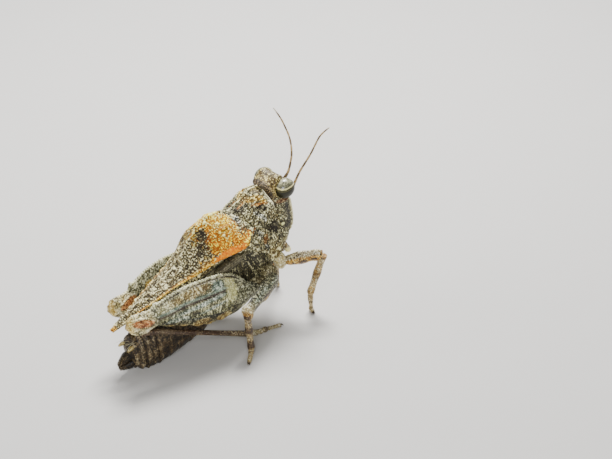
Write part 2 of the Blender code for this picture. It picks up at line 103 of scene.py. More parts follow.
def scramble(cell, seed):                       # a number from 0 to 1 for each cell
    x, y, z = np.moveaxis(cell.astype(np.int64), -1, 0)
    a, b, c = hashing["axes"]
    low = np.uint64(2 ** hashing["bits"] - 1)
    mixed = ((x * a) ^ (y * b) ^ (z * c) ^ (seed * hashing["seed"])).astype(np.uint64) & low
    for shift, factor in hashing["rounds"]:
        mixed = ((mixed ^ (mixed >> np.uint64(shift))) * np.uint64(factor)) & low
    return (mixed ^ (mixed >> np.uint64(hashing["lastShift"]))).astype(float) / 2.0 ** hashing["bits"]


def softNoise(points, size, seed):              # 0 to 1, lumps about size across
    scaled = points / size
    base = np.floor(scaled)
    part = scaled - base
    part = part * part * (3 - 2 * part)
    total = 0.0
    for corner in range(8):
        offset = np.array([corner & 1, (corner >> 1) & 1, corner >> 2])
        weight = np.prod(np.where(offset == 1, part, 1 - part), -1)
        total = total + weight * scramble(base + offset, seed)
    return total


def roughNoise(points, size, seed, layers=4, keep=0.55):
    weights = keep ** np.arange(layers)
    layered = [weight * softNoise(points, size / 2**k, seed + k) for k, weight in enumerate(weights)]
    return sum(layered) / weights.sum()


def grains(points, size, seed):                 # nearest grain: distance in grain sizes, and its own number
    scaled = points / size
    base = np.floor(scaled)
    nearest = np.full(points.shape[:-1], 9.0)
    number = np.zeros(points.shape[:-1])
    for step in itertools.product((-1, 0, 1), repeat=3):
        cell = base + np.array(step)
        jitter = np.stack([scramble(cell, seed + n) for n in (0, 1, 2)], -1)
        distance = np.linalg.norm(cell + 0.15 + 0.7 * jitter - scaled, axis=-1)
        closer = distance < nearest
        nearest = np.where(closer, distance, nearest)
        number = np.where(closer, scramble(cell, seed + 3), number)
    return nearest, number


def bumpAt(x, centre, width):                   # a smooth hill of height 1
    return np.exp(-((x - centre) / width) ** 2)


def smooth(x, low, high):
    t = np.clip((x - low) / (high - low), 0, 1)
    return t * t * (3 - 2 * t)


def blotches(u, v, spots, wobble=0.0):          # (u, v, half length, half height, slant, strength)
    total = np.zeros(np.broadcast(u, v).shape)
    for cu, cv, du, dv, slant, strength in spots:
        a = (u - cu) / du
        b = (v - cv - slant * (u - cu)) / dv
        total = np.maximum(total, strength * smooth(1.15 - np.sqrt(a * a + b * b) + wobble, 0.0, 0.35))
    return np.clip(total, 0, 1)


# smooth curves through rows of numbers

def readRows(rows, x):
    table = np.array(rows, float)
    steps = np.diff(table[:, 0])
    climb = np.diff(table[:, 1:], axis=0) / steps[:, None]
    slopes = np.zeros_like(table[:, 1:])
    before, after = climb[:-1], climb[1:]
    agree = before * after > 0
    slopes[1:-1] = np.where(agree, 2 * before * after / np.where(agree, before + after, 1), 0)
    x = np.clip(np.asarray(x, float), table[0, 0], table[-1, 0])
    i = np.clip(np.searchsorted(table[:, 0], x, side="right") - 1, 0, len(steps) - 1)
    t = ((x - table[i, 0]) / steps[i])[..., None]
    step = steps[i][..., None]
    low, high = table[i, 1:], table[i + 1, 1:]
    values = low * (2 * t**3 - 3 * t**2 + 1) + high * (3 * t**2 - 2 * t**3)
    return values + step * (slopes[i] * (t**3 - 2 * t**2 + t) + slopes[i + 1] * (t**3 - t**2))


def alongPath(points, t):
    rows = [(k / (len(points) - 1), *p) for k, p in enumerate(points)]
    return readRows(rows, t)


def roundedBox(angle, power):
    c, s = np.cos(angle), np.sin(angle)
    return np.sign(c) * np.abs(c) ** (2 / power), np.sign(s) * np.abs(s) ** (2 / power)


def turns(count, offset=0.0):                   # even steps round a ring
    return 2 * math.pi * (np.arange(count) + offset) / count


def knotTable(*knots):                          # each knot is two rows of numbers, across and up
    return np.stack([np.stack(knot, -1) for knot in knots], 1)


def blendKnots(knots, t):                       # Catmull-Rom through knots (rows, knots, 2), read at t
    count = knots.shape[1]
    i = np.clip(np.floor(t).astype(int), 0, count - 2)
    f = (t - i)[None, :, None]
    p0, p1 = knots[:, np.maximum(i - 1, 0)], knots[:, i]
    p2, p3 = knots[:, i + 1], knots[:, np.minimum(i + 2, count - 1)]
    return 0.5 * (2 * p1 + (p2 - p0) * f + (2 * p0 - 5 * p1 + 4 * p2 - p3) * f**2
                  + (3 * p1 - p0 - 3 * p2 + p3) * f**3)


# meshes from grids: rows along the part, columns round it

def lyingGrid(backs, half, top, bottom, r, u):  # rings from front to back; r and u run round each ring
    middle, reach = 0.5 * (top + bottom), 0.5 * (top - bottom)
    return np.stack([-backs[:, None] + 0 * u, half[:, None] * r, middle[:, None] + reach[:, None] * u], -1)


def uprightGrid(heights, face, back, half, f, r):   # rings from the bottom up; f and r run round each ring
    middle, reach = 0.5 * (face + back), 0.5 * (face - back)
    return np.stack([middle[:, None] + reach[:, None] * f, half[:, None] * r, heights[:, None] + 0 * f], -1)


def ballGrid(centre, size, rows, cols):
    polar = np.linspace(0.015, math.pi - 0.015, rows)[:, None]
    angle = turns(cols)
    unit = np.stack([np.sin(polar) * np.cos(angle), np.sin(polar) * np.sin(angle),
                     np.cos(polar) + 0 * angle], -1)
    return np.array(centre) + unit * np.array(size), unit


def hornRelief(points, grain, height, seed, wartSize=None, wartHeight=0.0, wartShare=0.3):
    distance, number = grains(points, grain, seed)
    beads = smooth(0.62 - distance, 0.0, 0.5) * (0.45 + 0.55 * number)
    relief = height * (beads - 0.35)
    tone = beads
    if wartSize:
        far, which = grains(points + 3.1, wartSize, seed + 20)
        warts = smooth(0.45 - far, 0.0, 0.35) * (which < wartShare)
        relief = relief + wartHeight * warts
        tone = np.maximum(tone, 0.9 * warts)
    relief = relief + height * 1.2 * (roughNoise(points, grain * 4, seed + 40) - 0.5)
    return relief, np.clip(tone, 0, 1)


def outward(grid):
    around = np.roll(grid, -1, 1) - np.roll(grid, 1, 1)
    along = np.gradient(grid, axis=0)
    normal = np.cross(along, around)
    length = np.linalg.norm(normal, axis=-1, keepdims=True)
    normal = normal / np.maximum(length, 1e-9)
    middle = grid.mean(1, keepdims=True)
    if ((grid - middle) * normal).sum() < 0:
        normal = -normal
    return normal


def push(grid, height):
    return grid + outward(grid) * height[..., None]


def tubeFaces(rows, cols):                      # quads round the tube, then a fan of triangles at each end
    i, j = np.meshgrid(np.arange(rows - 1), np.arange(cols), indexing="ij")
    here, beside = i * cols + j, i * cols + (j + 1) % cols
    quads = np.stack([here, beside, beside + cols, here + cols], -1).reshape(-1, 4)
    j = np.arange(cols)
    k = (j + 1) % cols
    top = (rows - 1) * cols
    firstCap = np.stack([k, j, np.full(cols, rows * cols)], -1)
    lastCap = np.stack([j + top, k + top, np.full(cols, rows * cols + 1)], -1)
    return quads, np.concatenate([firstCap, lastCap])


def insideOut(places, quads, caps):
    volume = 0.0
    for tri in (quads[:, [0, 1, 2]], quads[:, [0, 2, 3]], caps):
        a, b, c = places[tri[:, 0]], places[tri[:, 1]], places[tri[:, 2]]
        volume += (a * np.cross(b, c)).sum()
    return volume < 0


def shellPiece(name, parts, look, replaced=()):
    # parts is a list of (grid, {mask name: values}); all become one mesh, each closed at both ends
    names = sorted({key for _, given in parts for key in given})
    places, quads, caps = [], [], []
    masks = {key: [] for key in names}
    start = 0
    for grid, given in parts:
        rows, cols = grid.shape[:2]
        points = np.concatenate([grid.reshape(-1, 3), [grid[0].mean(0), grid[-1].mean(0)]])
        partQuads, partCaps = tubeFaces(rows, cols)
        if insideOut(toWorld(points), partQuads, partCaps):
            partQuads, partCaps = partQuads[:, ::-1], partCaps[:, ::-1]
        places.append(points)
        quads.append(partQuads + start)
        caps.append(partCaps + start)
        for key in names:
            values = np.broadcast_to(np.asarray(given.get(key, 0.0), float), (rows, cols))
            masks[key].append(np.concatenate([values.ravel(), [values[0].mean(), values[-1].mean()]]))
        start += rows * cols + 2
    places, quads, caps = np.concatenate(places), np.concatenate(quads), np.concatenate(caps)
    mesh = bpy.data.meshes.new(name)
    mesh.vertices.add(len(places))
    mesh.vertices.foreach_set("co", (toWorld(places) * mm).astype(np.float32).ravel())
    corners = np.concatenate([quads.ravel(), caps.ravel()])
    sizes = np.concatenate([np.full(len(quads), 4), np.full(len(caps), 3)])
    mesh.loops.add(len(corners))
    mesh.loops.foreach_set("vertex_index", corners.astype(np.int32))
    mesh.polygons.add(len(sizes))
    mesh.polygons.foreach_set("loop_start", np.concatenate([[0], np.cumsum(sizes)[:-1]]).astype(np.int32))
    mesh.update(calc_edges=True)
    mesh.validate()
    mesh.shade_smooth()
    placeData = mesh.attributes.new("place", "FLOAT_VECTOR", "POINT").data
    placeData.foreach_set("vector", places.astype(np.float32).ravel())
    for key in names:
        values = np.concatenate(masks[key]).astype(np.float32)
        mesh.attributes.new(key, "FLOAT", "POINT").data.foreach_set("value", values)
    mesh.materials.append(look)
    piece = bpy.data.objects.new(name, mesh)
    bpy.context.scene.collection.objects.link(piece)
    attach(piece, "root")
    if replaced:
        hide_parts(*replaced)


def rod(points, radii, rows=40, cols=16, flatten=1.0, power=2.0, upward=(0, 0, 1)):
    t = np.linspace(0, 1, rows)
    middle = alongPath(points, t)
    radius = readRows([(k / (len(radii) - 1), r) for k, r in enumerate(radii)], t)[:, 0]
    ahead = np.gradient(middle, axis=0)
    ahead /= np.linalg.norm(ahead, axis=-1, keepdims=True)
    across = np.cross(ahead, np.array(upward, float))
    across /= np.linalg.norm(across, axis=-1, keepdims=True)
    up = np.cross(across, ahead)
    angle = turns(cols)
    a, b = roundedBox(angle, power)
    grid = middle[:, None] + radius[:, None, None] * (
        across[:, None] * (a * flatten)[None, :, None] + up[:, None] * b[None, :, None]
    )
    return grid, t[:, None] * np.ones(cols), np.broadcast_to(angle, (rows, cols))


def thorn(root, tip, radius, cols=7, rows=5):
    root, tip = np.array(root, float), np.array(tip, float)
    middle = 0.5 * (root + tip)
    return rod([root, middle, tip], [radius, radius * 0.7, radius * 0.12], rows, cols)[0]

# materials

def newLook(title, roughness, coat=0.0, coatRough=0.3, gloss=0.3):
    look = bpy.data.materials.new(title)
    look.use_nodes = True
    shader = look.node_tree.nodes["Principled BSDF"]
    shader.inputs["Roughness"].default_value = roughness
    shader.inputs["Coat Weight"].default_value = coat
    shader.inputs["Coat Roughness"].default_value = coatRough
    shader.inputs["Specular IOR Level"].default_value = gloss
    return look


class Wiring:                                   # short words for the nodes that every look needs
    def __init__(self, tree):
        self.tree = tree

    def node(self, kind, **settings):
        made = self.tree.nodes.new(kind)
        for key, value in settings.items():
            setattr(made, key, value)
        return made

    def join(self, source, target):
        self.tree.links.new(source, target)

    def place(self):
        return self.node("ShaderNodeAttribute", attribute_name="place").outputs["Vector"]

    def mask(self, name):
        return self.node("ShaderNodeAttribute", attribute_name=name).outputs["Fac"]

    def feed(self, value, socket):
        if hasattr(value, "is_output"):
            self.join(value, socket)
        else:
            socket.default_value = value

    def maths(self, operation, a, b):
        made = self.node("ShaderNodeMath", operation=operation)
        self.feed(a, made.inputs[0])
        self.feed(b, made.inputs[1])
        return made.outputs[0]

    def mix(self, amount, a, b, way="MIX"):
        made = self.node("ShaderNodeMix", data_type="RGBA", blend_type=way)
        self.feed(amount, made.inputs["Factor"])
        for value, socket in ((a, made.inputs["A"]), (b, made.inputs["B"])):
            self.feed((*value, 1.0) if isinstance(value, tuple) and len(value) == 3 else value, socket)
        return made.outputs["Result"]

    def ramp(self, value, low, high):
        made = self.node("ShaderNodeMapRange", interpolation_type="SMOOTHSTEP")
        self.feed(value, made.inputs["Value"])
        made.inputs["From Min"].default_value = low
        made.inputs["From Max"].default_value = high
        return made.outputs["Result"]

    def noise(self, vector, size, detail=4.0, rough=0.6):
        made = self.node("ShaderNodeTexNoise")
        self.join(vector, made.inputs["Vector"])
        made.inputs["Scale"].default_value = 1.0 / size
        made.inputs["Detail"].default_value = detail
        made.inputs["Roughness"].default_value = rough
        return made.outputs["Fac"]

    def cells(self, vector, size):
        made = self.node("ShaderNodeTexVoronoi")
        self.join(vector, made.inputs["Vector"])
        made.inputs["Scale"].default_value = 1.0 / size
        return made.outputs["Distance"]


def makeHornGroup():
    # mottled horn: pits dark and grain tops pale, partly the horn's own grain and partly painted shade in the
    # pits and painted highlight on the grain tops, with blotches between two base colours
    tree = bpy.data.node_groups.new("mottledHorn", "ShaderNodeTree")
    for title, kind, value in (
        ("Place", "NodeSocketVector", None), ("Height", "NodeSocketFloat", 0.5),
        ("Dark", "NodeSocketColor", (0.03, 0.02, 0.015, 1)),
        ("Middle", "NodeSocketColor", (0.2, 0.15, 0.09, 1)),
        ("Pale", "NodeSocketColor", (0.6, 0.5, 0.3, 1)), ("PitDarkAndShade", "NodeSocketFloat", 1.0),
        ("TopPaleAndHighlight", "NodeSocketFloat", 1.0), ("Blotch", "NodeSocketFloat", 0.5),
    ):
        socket = tree.interface.new_socket(title, in_out="INPUT", socket_type=kind)
        if value is not None:
            socket.default_value = value
    tree.interface.new_socket("Color", in_out="OUTPUT", socket_type="NodeSocketColor")
    tree.interface.new_socket("Bump", in_out="OUTPUT", socket_type="NodeSocketFloat")
    w = Wiring(tree)
    given = w.node("NodeGroupInput").outputs
    end = w.node("NodeGroupOutput").inputs
    place = given["Place"]
    broad = w.noise(place, 0.42, 5.0, 0.62)
    speck = w.noise(place, 0.08, 3.0, 0.72)
    distance = w.cells(place, 0.07)
    blotch = w.ramp(broad, 0.4, 0.62)
    base = w.mix(w.maths("MULTIPLY", blotch, given["Blotch"]), given["Middle"], given["Dark"])
    tint = w.ramp(w.noise(place, 0.16, 3.0, 0.6), 0.36, 0.64)
    base = w.mix(0.28, base, w.mix(tint, (0.46, 0.31, 0.12), (0.4, 0.44, 0.2)), "OVERLAY")
    gather = w.maths("MULTIPLY", w.maths("SUBTRACT", w.noise(place, 0.24, 2.0, 0.5), 0.5), 0.42)
    grainTop = w.maths("ADD", w.maths("ADD", speck, gather), w.maths("MULTIPLY", given["Height"], 0.34))
    paleAndHighlightHere = w.maths("MULTIPLY", w.ramp(grainTop, 0.52, 0.76), given["TopPaleAndHighlight"])
    base = w.mix(paleAndHighlightHere, base, given["Pale"])
    hollow = w.maths("SUBTRACT", w.maths("MULTIPLY", distance, 1.1),
                     w.maths("MULTIPLY", given["Height"], 0.6))
    pitDarkAndShadeHere = w.maths("MULTIPLY", w.ramp(hollow, 0.24, 0.55), given["PitDarkAndShade"])
    base = w.mix(pitDarkAndShadeHere, base, given["Dark"])
    w.join(base, end["Color"])
    w.join(w.maths("SUBTRACT", speck, w.maths("MULTIPLY", distance, 0.6)), end["Bump"])
    return tree


hornGroup = makeHornGroup()


def horn(w, dark, middle, pale, pits, topPaleAndHighlight, blotch, height):
    made = w.node("ShaderNodeGroup", node_tree=hornGroup)
    w.join(w.place(), made.inputs["Place"])
    w.join(height, made.inputs["Height"])
    for title, value in (("Dark", dark), ("Middle", middle), ("Pale", pale)):
        made.inputs[title].default_value = (*value, 1.0)
    for title, value in (("PitDarkAndShade", pits), ("TopPaleAndHighlight", topPaleAndHighlight), ("Blotch", blotch)):
        made.inputs[title].default_value = value
    return made.outputs["Color"], made.outputs["Bump"]


def finishLook(look, w, colour, bump, depth):
    shader = look.node_tree.nodes["Principled BSDF"]
    w.join(colour, shader.inputs["Base Color"])
    relief = w.node("ShaderNodeBump")
    relief.inputs["Strength"].default_value = 0.6
    relief.inputs["Distance"].default_value = depth * mm
    w.join(bump, relief.inputs["Height"])
    w.join(relief.outputs["Normal"], shader.inputs["Normal"])
    return look


def maskedLook(title, base, marks, roughness=0.62, coat=0.0, gloss=0.3, depth=0.016, pits=0.9, topPaleAndHighlight=0.95,
               blotch=0.6):
    # base: (dark, middle, pale)
    # marks: (mask, (dark, middle, pale), how much grain stays), painted over in turn
    # pits and tops set how far the pits are darkened as painted shade and the grain tops paled as painted
    # highlight
    look = newLook(title, roughness, coat, gloss=gloss)
    w = Wiring(look.node_tree)
    height = w.mask("height")
    colour, bump = horn(w, *base, pits, topPaleAndHighlight, blotch, height)
    for name, tones, grain in marks:
        patch, _ = horn(w, *tones, pits * grain, topPaleAndHighlight * grain, blotch * grain, height)
        colour = w.mix(w.mask(name), colour, patch)
    return finishLook(look, w, colour, bump, depth)

# neck shield

shield = {
    # distance back: crest, shoulder half width and height, roof roundness, edge half width and height
    "rows": [
        (0.0, 0.0, 0.9, -0.5, 2.2, 0.94, -2.25), (0.25, 0.12, 0.97, -0.52, 2.2, 1.03, -2.75),
        (0.55, 0.17, 1.02, -0.55, 2.1, 1.12, -3.03), (0.85, 0.1, 1.05, -0.6, 2.0, 1.18, -3.1),
        (1.18, 0.04, 1.08, -0.66, 1.9, 1.22, -3.0), (1.38, 0.0, 1.12, -0.72, 1.8, 1.26, -2.35),
        (1.75, 0.0, 1.22, -0.82, 1.6, 1.34, -1.95), (2.1, 0.16, 1.45, -0.9, 1.5, 1.4, -1.6),
        (2.45, 0.38, 1.58, -0.95, 1.4, 1.38, -1.32), (3.0, 0.48, 1.4, -0.95, 1.4, 1.22, -1.22),
        (3.45, 0.4, 1.18, -0.97, 1.5, 1.08, -1.24), (3.9, 0.2, 1.02, -1.0, 1.6, 1.0, -1.29),
        (4.4, -0.12, 0.96, -1.02, 1.8, 0.98, -1.34), (5.0, -0.5, 0.88, -1.02, 2.0, 0.9, -1.34),
        (5.7, -0.75, 0.71, -1.02, 2.2, 0.74, -1.34), (7.0, -0.96, 0.46, -1.12, 2.4, 0.48, -1.38),
        (8.2, -1.1, 0.25, -1.2, 2.4, 0.25, -1.38), (8.9, -1.19, 0.14, -1.27, 2.4, 0.14, -1.39),
        (9.26, -1.26, 0.09, -1.31, 2.2, 0.08, -1.4),
    ],
    "ringCount": 420,
    "roofPoints": 64, "sidePoints": 40, "underPoints": 12,      # on each half of a ring
    "wall": 0.3, "ceiling": -0.95, "frontLean": 0.1,
    "crestHeight": 0.1, "crestWidth": 0.07,
    "grainSize": 0.088, "grainHeight": 0.021,
    "wartSize": 0.26, "wartHeight": 0.045,
    # markings: distance back, share across (0 crest, 1 shoulder, 2 lower edge), half sizes, slant, strength
    "ragged": {
        "orange": [(2.95, 0.55, 1.0, 0.62, 0.0, 1.0), (2.0, 0.95, 0.45, 0.1, 0.0, 1.0),
                   (3.3, 0.15, 0.85, 0.35, 0.0, 0.9), (2.55, 0.98, 0.62, 0.35, 0.0, 1.0),
                   (3.15, 1.06, 0.85, 0.26, 0.0, 1.0)],
        # yellow: yellow patches on the hump, partly its own colour and partly a painted highlight on its top
        "yellow": [(2.75, 0.3, 0.62, 0.34, 0.0, 1.0), (3.35, 0.12, 0.85, 0.2, 0.0, 0.85),
                   (2.35, 0.52, 0.28, 0.28, 0.0, 0.6)],
        # smudge: dark marks behind the hump, partly its own mottling and partly painted shade on its rear
        # slope
        "smudge": [(3.62, 0.3, 0.28, 0.2, 0.0, 1.0), (3.95, 0.55, 0.32, 0.22, 0.0, 0.85),
                   (4.1, 0.2, 0.25, 0.15, 0.0, 0.5)],
        "warm": [(0.8, 1.88, 0.4, 0.15, 0.0, 0.8), (0.2, 0.1, 0.25, 0.3, 0.0, 0.5)],
        "rust": [(0.55, 0.72, 0.3, 0.05, -0.45, 0.7), (1.25, 0.2, 0.22, 0.06, 0.0, 0.6),
                 (1.56, 1.14, 0.17, 0.14, 0.0, 0.8), (1.1, 1.58, 0.18, 0.05, 0.2, 0.5),
                 (2.0, 0.9, 0.2, 0.3, 0.0, 0.3)],
    },
    "crisp": {
        "golden": [(0.6, 0.43, 0.4, 0.15, -0.54, 0.85), (0.36, 0.72, 0.16, 0.05, -0.3, 1.0),
                   (0.95, 0.1, 0.3, 0.12, 0.0, 0.5)],
        # dark: dark markings on the front part; the narrow spots on the side-lobe furrow are painted shade in
        # it
        "dark": [(1.52, 0.24, 0.3, 0.18, -0.3, 1.0), (0.68, 0.81, 0.34, 0.12, -0.4, 1.0),
                 (1.15, 0.34, 0.16, 0.1, -0.5, 0.9), (0.42, 1.54, 0.36, 0.1, -0.25, 1.0),
                 (1.05, 1.13, 0.11, 0.07, -1.65, 0.9), (0.8, 1.45, 0.18, 0.05, -0.75, 1.0),
                 (2.2, 1.25, 0.5, 0.12, 0.0, 0.5)],
        "silver": [(0.85, 1.0, 0.2, 0.16, -1.2, 0.85), (1.17, 1.68, 0.14, 0.05, 0.0, 0.8),
                   (1.88, 0.46, 0.2, 0.12, 0.0, 0.9), (1.35, 1.35, 0.25, 0.12, -0.5, 0.6)],
        "ember": [(3.1, 1.02, 0.82, 0.13, 0.0, 1.0), (3.1, 1.16, 0.9, 0.16, 0.0, 1.0)],
    },
    # furrows across the front part: distance back and depth
    "furrows": ((0.62, 0.045), (1.12, 0.04), (1.55, 0.06)),
    "fullerRight": 0.08, "fullerLeft": 0.3,        # how far the shoulders swell behind the hump
}


def shieldOutline(backs):
    spec = shield
    crest, shoulder, height, power, edge, edgeHeight = readRows(spec["rows"], backs).T
    share = np.linspace(0, 1, spec["roofPoints"] + 1)
    roofRight = shoulder[:, None] * share
    roofUp = height[:, None] + (crest - height)[:, None] * (1 - share[None] ** power[:, None])
    # the side: shoulder, waist, edge, then round the rim to the wall's inner face
    outwards, downwards = edge - shoulder, edgeHeight - height
    t = np.linspace(0, 4, spec["sidePoints"] + 1)[1:]
    side = blendKnots(knotTable(
        (shoulder, height), (shoulder + 0.1 * outwards - 0.02, height + 0.15 * downwards),
        (shoulder + 0.3 * outwards, height + 0.36 * downwards), (edge - 0.01, height + 0.72 * downwards),
        (edge - 0.02, edgeHeight + 0.04)), t)
    wall = np.minimum(spec["wall"], 0.35 * edge)
    ceiling = np.maximum(np.minimum(spec["ceiling"], crest - wall), edgeHeight + 0.02)
    inside = edge - wall
    under = blendKnots(knotTable(
        (edge - 0.02, edgeHeight + 0.04), (0.5 * (edge + inside), edgeHeight),
        (inside, edgeHeight + 0.1 * (ceiling - edgeHeight)),
        (inside, edgeHeight + 0.8 * (ceiling - edgeHeight)),
        (0.6 * inside, ceiling), (0.0 * inside, ceiling)), np.linspace(0, 5, spec["underPoints"] + 1)[1:])
    half = np.concatenate([np.stack([roofRight, roofUp], -1), side, under], 1)
    across = np.concatenate([share, 1 + t / 4, 2 + np.linspace(0, 1, spec["underPoints"] + 1)[1:]])
    mirrored = half[:, 1:-1][:, ::-1] * np.array([-1, 1])
    ring = np.concatenate([half, mirrored], 1)
    sense = np.concatenate([np.ones(half.shape[1]), -np.ones(mirrored.shape[1])])
    allAcross = np.concatenate([across, across[1:-1][::-1]])
    grid = np.concatenate([np.broadcast_to(-backs[:, None, None], (*ring.shape[:2], 1)), ring], -1)
    return grid, allAcross, sense


def makeShield():
    spec = shield
    last = spec["rows"][-1][0]
    backs = last * np.linspace(0, 1, spec["ringCount"]) ** 1.08
    grid, across, sense = shieldOutline(backs)
    s, v = np.meshgrid(backs, across, indexing="ij")           # distance back, and share across and down
    taper = smooth(last - s, 0.0, 1.4)
    outer = smooth(2.08 - v, 0, 0.1)
    relief, tone = hornRelief(grid, spec["grainSize"], spec["grainHeight"], 11, spec["wartSize"],
                              spec["wartHeight"], 0.33)
    shrink = 0.45 + 0.55 * taper
    lift = relief * shrink
    # crest, with a wavy top
    halfWidth = readRows(spec["rows"], backs)[:, 1][:, None]
    fromCrest = v * halfWidth
    wave = 0.75 + 0.25 * np.sin(s * 9.0 + 2.0 * softNoise(grid, 0.5, 5)) + 0.35 * bumpAt(s, 0.4, 0.35)
    onCrest = bumpAt(np.where(v <= 1, fromCrest, 9), 0, spec["crestWidth"])
    lift += spec["crestHeight"] * wave * shrink * onCrest
    # shoulder keels, strongest over the hump, and the folded rim below them
    keel = 0.035 + 0.05 * bumpAt(s, 3.0, 0.9) + 0.03 * smooth(s, 4.0, 4.6) * taper
    keelWave = 0.8 + 0.2 * np.sin(s * 13 + sense)
    lift += keel * keelWave * bumpAt(v, 1.0, 0.055)
    lift -= 0.05 * bumpAt(v, 1.16, 0.08) * smooth(s, 1.9, 2.4) * taper
    # short keels beside the crest, front and on the hump
    lift += 0.05 * bumpAt(v, 0.52 + 0.05 * np.sin(s * 2), 0.045) * bumpAt(s, 0.7, 0.42)
    lift += 0.055 * bumpAt(v, 0.46, 0.04) * bumpAt(s, 2.6, 0.35)
    lift += 0.03 * bumpAt(v, 0.5, 0.05) * smooth(s, 3.8, 4.6) * taper * (0.5 + softNoise(grid, 0.4, 71))
    lift -= 0.09 * bumpAt(s, 0.13, 0.05) * smooth(v, 0.08, 0.16) * smooth(0.8 - v, 0, 0.3)
    # furrows across the front part and down the side lobes
    for where, depth in spec["furrows"]:
        line = where + 0.1 * np.sin(v * 2.6 + where * 5)
        lift -= depth * bumpAt(s, line, 0.055) * smooth(v, 0.12, 0.3) * smooth(1.95 - v, 0, 0.3)
    lift -= 0.07 * bumpAt(v, 1.38 + 0.18 * (s - 0.7), 0.06) * bumpAt(s, 0.8, 0.45)
    # long wrinkles on the drawn-out hind part
    stretched = grid * np.array([0.28, 1, 1])
    wrinkles = roughNoise(stretched, 0.16, 91, 3) - 0.5
    lift += 0.055 * wrinkles * smooth(s, 3.6, 4.8) * taper
    fuller = np.where(sense > 0, spec["fullerRight"], spec["fullerLeft"])
    fuller = fuller * bumpAt(s, 3.7, 0.8) * bumpAt(v, 0.82, 0.3)
    # front rim
    lift = lift * smooth(s, 0.0, 0.07) + 0.03 * bumpAt(s, 0.0, 0.05)
    emberBand = blotches(s, v, spec["crisp"]["ember"])
    lift = lift * outer * (1 - 0.75 * emberBand) + 0.03 * emberBand * bumpAt(v, 0.92, 0.05)
    grid = push(grid, lift + fuller)
    lean = bumpAt(np.abs(grid[..., 1]), 0.12, 0.3) * smooth(0.4 - s, 0.0, 0.4)
    grid[..., 0] += spec["frontLean"] * lean
    wobble = 1.3 * (roughNoise(grid, 0.45, 33) - 0.5) + 2.2 * (roughNoise(grid, 0.12, 37, 3, 0.75) - 0.5)
    masks = {key: blotches(s, v, spots, wobble) for key, spots in spec["ragged"].items()}
    masks.update({key: blotches(s, v, spots, 0.35 * wobble) for key, spots in spec["crisp"].items()})
    # a thin dark line just behind the front rim: painted shade in the furrow there
    masks["dark"] = np.maximum(masks["dark"], bumpAt(s, 0.11, 0.05) * bumpAt(v, 0.32, 0.26))
    # a brighter orange stripe along the crest of the orange rim: painted highlight
    masks["flame"] = bumpAt(v, 0.975, 0.045) * emberBand * smooth(s, 1.7, 2.0)
    starts = 1.92 - 0.3 * bumpAt(v, 0.95, 0.28) + 0.15 * wobble
    for key in ("orange", "yellow", "ember"):
        masks[key] = masks[key] * smooth(s, starts, starts + 0.16)
    carina = bumpAt(v, 1.0, 0.09) * smooth(s, 3.7, 4.3) * smooth(9.0 - s, 0, 1.5)
    keelGold = np.clip(1.3 * carina * (0.6 + 0.9 * (wobble + 0.3)), 0, 1) * np.where(sense > 0, 1.0, 0.45)
    masks["gold"] = np.maximum(keelGold, 0.9 * smooth(s, 8.95, 9.15))
    masks["pale"] = np.clip(1.3 * bumpAt(s, 0.0, 0.035) * smooth(1.35 - v, 0.0, 0.3), 0, 1)
    # raising the keels' tone paints their grain tops paler: painted highlight along the crest and shoulder
    # keels
    onKeels = 0.35 * bumpAt(v, 0, 0.06) + 0.3 * bumpAt(v, 1, 0.05)
    masks["height"] = np.clip(tone + 0.2 * wobble + onKeels, 0, 1)
    masks["hind"] = smooth(s, 3.7, 4.3)
    look = maskedLook("shieldHorn", ((0.018, 0.015, 0.008), (0.31, 0.262, 0.13), (0.96, 0.92, 0.54)), [
        ("hind", ((0.022, 0.016, 0.01), (0.34, 0.28, 0.14), (0.94, 0.87, 0.5)), 1.0),
        ("warm", ((0.06, 0.035, 0.01), (0.46, 0.36, 0.13), (1.0, 0.92, 0.46)), 1.0),
        ("silver", ((0.016, 0.016, 0.012), (0.36, 0.37, 0.26), (1.0, 1.0, 0.86)), 1.1),
        ("dark", ((0.004, 0.003, 0.003), (0.022, 0.017, 0.01), (0.46, 0.42, 0.24)), 0.6),
        ("golden", ((0.05, 0.02, 0.004), (0.66, 0.38, 0.04), (1.0, 0.84, 0.24)), 1.0),
        ("orange", ((0.25, 0.055, 0.001), (1.0, 0.42, 0.001), (1.0, 0.93, 0.08)), 1.0),
        # yellow on the hump, partly painted highlight
        ("yellow", ((0.28, 0.1, 0.003), (1.0, 0.75, 0.016), (1.0, 1.0, 0.42)), 1.05),
        ("ember", ((0.5, 0.07, 0.0), (0.92, 0.25, 0.0), (1.0, 0.52, 0.0)), 0.5),
        # brighter orange on the rim's crest: painted highlight
        ("flame", ((0.62, 0.18, 0.0), (0.95, 0.38, 0.0), (1.0, 0.62, 0.0)), 0.5),
        # dark marks behind the hump, partly painted shade
        ("smudge", ((0.007, 0.005, 0.003), (0.033, 0.022, 0.009), (0.36, 0.29, 0.13)), 0.8),
        ("rust", ((0.1, 0.025, 0.005), (0.55, 0.19, 0.015), (0.95, 0.62, 0.14)), 0.9),
        ("gold", ((0.12, 0.035, 0.003), (0.8, 0.36, 0.01), (1.0, 0.76, 0.14)), 0.9),
        ("pale", ((0.5, 0.45, 0.28), (0.95, 0.9, 0.66), (1.0, 1.0, 0.84)), 0.2),
    ], roughness=0.62, gloss=0.16)
    shellPiece("neckShield", [(grid, masks)], look, ["pronotum"])


makeShield()
print("grasshopper: neck shield made")

# head

